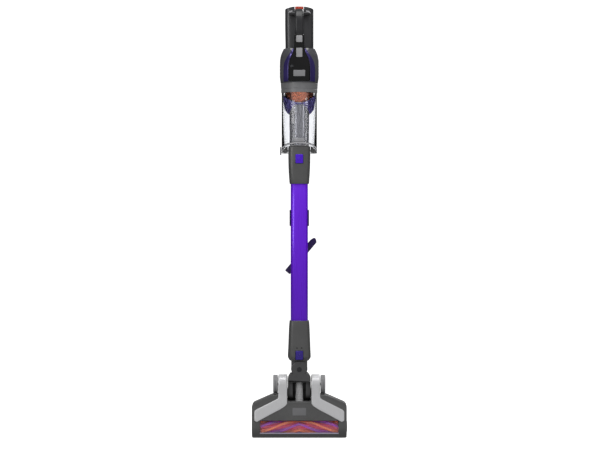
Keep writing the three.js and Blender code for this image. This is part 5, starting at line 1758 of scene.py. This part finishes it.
    def grip(self) -> None:
        """Builds the grip: a loop with large soft edges, its foot and its rubber pad."""
        gap_low, gap_high = 1036.8, 1112.7
        outer = Outline([(-82, 1048, 5), (-92.6, 1070, 9), (-94.7, 1108.7, 14), (-79, 1133.7, 14),
            (-12, 1131.5, 5), (-12, gap_high, 5),
            (-66, gap_high, 9), (-66, gap_low + 14, 12), (-36, gap_low, 8), (-14, gap_low, 5), (-14, 1008, 5),
            (-52, 1008, 5)], 10)
        loop = slab(outer, -11.0, 11.0, Facing.SIDE, 4.6, None, 9)
        foot = slab(Outline([(-11, 1111.7, 1), (11, 1111.7, 1), (11, 1120.7, 5), (28, 1121.7, 3),
            (28, 1128.5, 3), (-28, 1128.5, 3),
            (-28, 1121.7, 3), (-11, 1120.7, 5)], 8), -33.0, -21.8, Facing.FRONT, 1.6, 0.2)
        piece("grip_loop", [loop, foot], Palette.handle, "hand_unit", ["handle_frame"], 35)
        pad = slab(oblong(1.2, 20.0, 0.8, -64.6, 1079.0), -9.4, 9.4, Facing.SIDE, 0.7)
        ridges = [slab(oblong(0.5, 0.7, 0.4, -63.3, 1062.5 + 3.0 * k), -7.5, 7.5, Facing.SIDE,
            0.3) for k in range(12)]
        piece("grip_rubber", [pad, *ridges], Palette.grip, "hand_unit", ["grip_pad"])
        # A bright strip on the foot's top edge: a painted highlight of that edge.
        edge = slab(Outline([(-28.2, 1127.2, 1), (28.2, 1127.2, 1), (29.2, 1124.0, 1), (29.2, 1129.6, 2),
            (-29.2, 1129.6, 2), (-29.2, 1124.0, 1)], 5),
            -24.6, -21.8, Facing.FRONT, 0.4, 0.1)
        piece("foot_highlight_line", [edge], Palette.foot_painted_highlight, "hand_unit")

    def crown(self, x: Array, drop: float = 0.0) -> Array:
        """Gives the arched top line.

        Formula: an arc through both top corners that rises by the arch's rise at the middle.

        Args:
            x: distance from the middle.
            drop: how far below the top it runs.

        Returns:
            z at those places.
        """
        a, rise = self.dock_half, self.arch_rise
        radius = (a * a + rise * rise) / (2 * rise)
        return self.dock_top + rise - radius + np.sqrt(radius**2 - x**2) - drop

    def block(self, start: float, end: float, face: float) -> Shell:
        """Builds a slice of the dock's rounded block between two depths.

        Formula: the section seen from above is an oblong of power 6 with half depth 41 about y = 19; each
        ring is the front view at one depth, as wide as that oblong, under the arched top.

        Args:
            start: angle where the slice starts, from -pi / 2 at the front to pi / 2 at the rear.
            end: angle where it ends.
            face: how far the flat end faces are drawn in.

        Returns:
            The closed shell.
        """
        angle = np.linspace(start, end, 30)
        sine = np.sin(angle)
        half = self.dock_half * np.cos(angle) ** (1 / 3) - 0.2
        depth = 19.0 + 41.0 * np.sign(sine) * np.abs(sine) ** (1 / 3)
        shrink = np.zeros(30)
        shrink[0] = shrink[-1] = face
        h = (half - shrink)[:, None]
        low = np.broadcast_to((self.dock_low + shrink)[:, None], h.shape)
        side = 12.4 + np.linspace(0.0, 1.0, 16)[None, :] * (h - 12.4)
        middle = np.broadcast_to(np.linspace(-12.2, 12.2, 9)[None, :], (30, 9))
        across = np.concatenate([-side[:, ::-1], middle, side], axis=1)
        cut = (np.abs(across) < 12.3) & (depth[:, None] < 29.5)
        top = np.where(cut, 1134.2, self.crown(across) - shrink[:, None])[:, ::-1]
        x = np.concatenate([-h + 1, h - 1, h, h, across[:, ::-1], -h], axis=1)
        z = np.concatenate([low, low, low + 1, low + 60, top, low + 60], axis=1)
        return tower(np.stack([x, np.broadcast_to(depth[:, None], x.shape), z], axis=-1))

    def battery(self) -> None:
        """Builds the dock, the pack that slides down on it, a pale band under the dock's arched top that is a
        painted highlight, and the red latch.
        """
        split = math.asin((10.0 / 41.0) ** 3)
        piece("dock", [self.block(-1.46, -split, 0.4)], Palette.dock, "hand_unit", ["battery_dock"], 40)
        rear = math.asin((9.6 / 41.0) ** 3)
        piece("pack", [self.block(-rear, 1.46, 0.4)], Palette.battery, "battery", ["battery_pack"], 40)
        # Pale band following the arched top, 9 to 13 mm below it: a painted highlight where the crest catches
        # light.
        x = np.linspace(-27.0, 27.0, 50)
        ribbon = np.concatenate([np.stack([x, self.crown(x, 9.0)], 1),
            np.stack([x, self.crown(x, 13.0)], 1)[::-1]])
        piece("dock_highlight_band", [slab(ribbon, self.dock_front + 0.1, self.dock_front + 3.0, Facing.FRONT, 0.2)],
            Palette.dock_painted_highlight, "hand_unit")
        latch = slab(Outline([(-20.3, 1135.9, 1), (28.8, 1135.9, 1), (28.8, 1145.6, 2.5),
            (-20.3, 1145.6, 2.5)], 6), -11.0, 11.0, Facing.SIDE, 1.2)
        teeth = [slab(oblong(0.45, 0.45, 0.3, -14 + 3.0 * k, 1145.8), -8.5, 8.5, Facing.SIDE,
            0.25) for k in range(6)]
        piece("latch", [latch, *teeth], Palette.red, "battery_release", ["battery_latch"])
        rails = [slab(oblong(26.0, 0.6, 0.5, 0.0, z), self.pack_back - 0.4, self.pack_back - 0.05,
            Facing.FRONT, 0.1) for z in (1060.0, 1066.0, 1072.0, 1078.0)]
        piece("pack_grip", rails, Palette.sole, "battery")

    def build(self) -> None:
        """Builds the whole hand unit."""
        self.housing()
        self.console()
        self.grip()
        self.battery()


# ---------------------------------------------------------------- studio


@dataclass
class Studio:
    """Floor, wall, lights, dark cards and camera."""

    distance: float = 4.5
    aim_x: float = 0.0019
    aim_z: float = 0.568
    lens: float = 101.5

    def camera(self) -> None:
        """Sets the camera straight in front of the vacuum."""
        data = bpy.data.cameras.new("camera")
        data.lens, data.sensor_width = self.lens, 36.0
        made = bpy.data.objects.new("camera", data)
        origin = SITE.origin
        made.location = (origin[0] + self.aim_x, origin[1] - self.distance, origin[2] + self.aim_z)
        made.rotation_euler = (math.pi / 2, 0.0, 0.0)
        bpy.context.scene.collection.objects.link(made)
        bpy.context.scene.camera = made

    def sweep(self) -> None:
        """Builds a pale floor that curves up into a round wall.

        Formula: a level line, a quarter circle of radius 0.8 m and an upright line, turned round the vacuum.
        """
        x0, y0, z0 = SITE.origin[0], SITE.origin[1], SITE.origin[2] - 0.004
        bend = np.linspace(0.0, math.pi / 2, 24)
        reach = np.concatenate([[0.0005], 5.7 + 0.8 * np.sin(bend), [6.5]])[None, :]
        z = np.concatenate([[0.0], 0.8 - 0.8 * np.cos(bend), [8.0]])[None, :] + z0
        turn = np.linspace(0.0, TAU, 97)[:, None]
        grid = np.stack(np.broadcast_arrays(x0 + reach * np.cos(turn), y0 + reach * np.sin(turn), z), -1)
        index = np.arange(grid.shape[0] * grid.shape[1]).reshape(grid.shape[:2])
        quads = np.stack([index[:-1, :-1], index[1:, :-1], index[1:, 1:], index[:-1, 1:]], -1).reshape(-1, 4)
        mesh = bpy.data.meshes.new("studio_floor")
        mesh.from_pydata(grid.reshape(-1, 3).tolist(), [], quads.tolist())
        mesh.polygons.foreach_set("use_smooth", np.ones(len(mesh.polygons), bool))
        paint = Paint("studio_white")
        paint.fix(Base_Color=(0.55, 0.55, 0.55, 1), Roughness=0.9, Emission_Color=(1, 1, 1, 1),
            Emission_Strength=1.0)
        mesh.materials.append(paint.material)
        made = bpy.data.objects.new("studio_floor", mesh)
        made.visible_glossy = made.visible_diffuse = made.visible_shadow = False
        bpy.context.scene.collection.objects.link(made)

    def light(self, name: str, place: Sequence[float], size: tuple[float, float], power: float,
            mirrored: bool = True) -> None:
        """Adds a soft light that faces the vacuum.

        Args:
            name: the light's name.
            place: metres from the nose of the head.
            size: width and height in metres.
            power: watts.
            mirrored: whether glossy surfaces show it.
        """
        data = bpy.data.lights.new(name, "AREA")
        data.shape, data.size, data.size_y, data.energy = "RECTANGLE", size[0], size[1], power
        made = bpy.data.objects.new(name, data)
        made.location = Vector(SITE.origin) + Vector(place)
        way = Vector(SITE.origin) + Vector((0.0, 0.0, 0.57)) - made.location
        made.rotation_euler = way.to_track_quat("-Z", "Y").to_euler()
        made.visible_camera, made.visible_glossy = False, mirrored
        bpy.context.scene.collection.objects.link(made)

    def card(self, name: str, x: float, y: tuple[float, float], z: tuple[float, float]) -> None:
        """Adds a black upright card beside the vacuum, which gives its glossy edges dark lines."""
        o = SITE.origin
        corners = [(x, y[0], z[0]), (x, y[1], z[0]), (x, y[1], z[1]), (x, y[0], z[1])]
        mesh = bpy.data.meshes.new(name)
        mesh.from_pydata([tuple(np.array(c) + o) for c in corners], [], [(0, 1, 2, 3)])
        paint = Paint(name)
        paint.fix(Base_Color=(0.01, 0.01, 0.01, 1), Roughness=1.0)
        mesh.materials.append(paint.material)
        made = bpy.data.objects.new(name, mesh)
        made.visible_camera = False
        made.visible_shadow = False
        bpy.context.scene.collection.objects.link(made)

    def build(self) -> None:
        """Builds the whole studio."""
        scene = bpy.context.scene
        scene.view_settings.view_transform = "Standard"
        world = bpy.data.worlds.new("studio_world")
        world.use_nodes = True
        shade = world.node_tree.nodes["Background"]
        shade.inputs["Color"].default_value = (1.0, 1.0, 1.0, 1.0)
        shade.inputs["Strength"].default_value = 0.28
        scene.world = world
        self.camera()
        self.sweep()
        self.light("key_left", (-1.9, -2.2, 1.5), (1.0, 1.8), 26.0)
        self.light("key_right", (1.9, -1.6, 1.3), (0.6, 1.8), 20.0, False)
        self.light("top_soft", (0.0, -0.8, 2.6), (1.4, 1.0), 16.0)
        self.light("rim_right", (1.0, 1.3, 2.1), (1.0, 0.6), 26.0)
        self.card("card_right", 0.75, (-0.4, 1.6), (0.0, 1.6))
        self.card("card_left", -0.75, (-0.4, 1.6), (0.0, 1.6))


def main() -> None:
    """Builds every sub-assembly and the studio in order."""
    logging.basicConfig(level=logging.INFO, format="%(message)s")
    for part in (FloorHead(), Neck(), Wand(), DustBin(), HandUnit()):
        part.build()
        LOG.info("%s built", type(part).__name__)
    Studio().build()


if __name__ == "__main__":
    main()
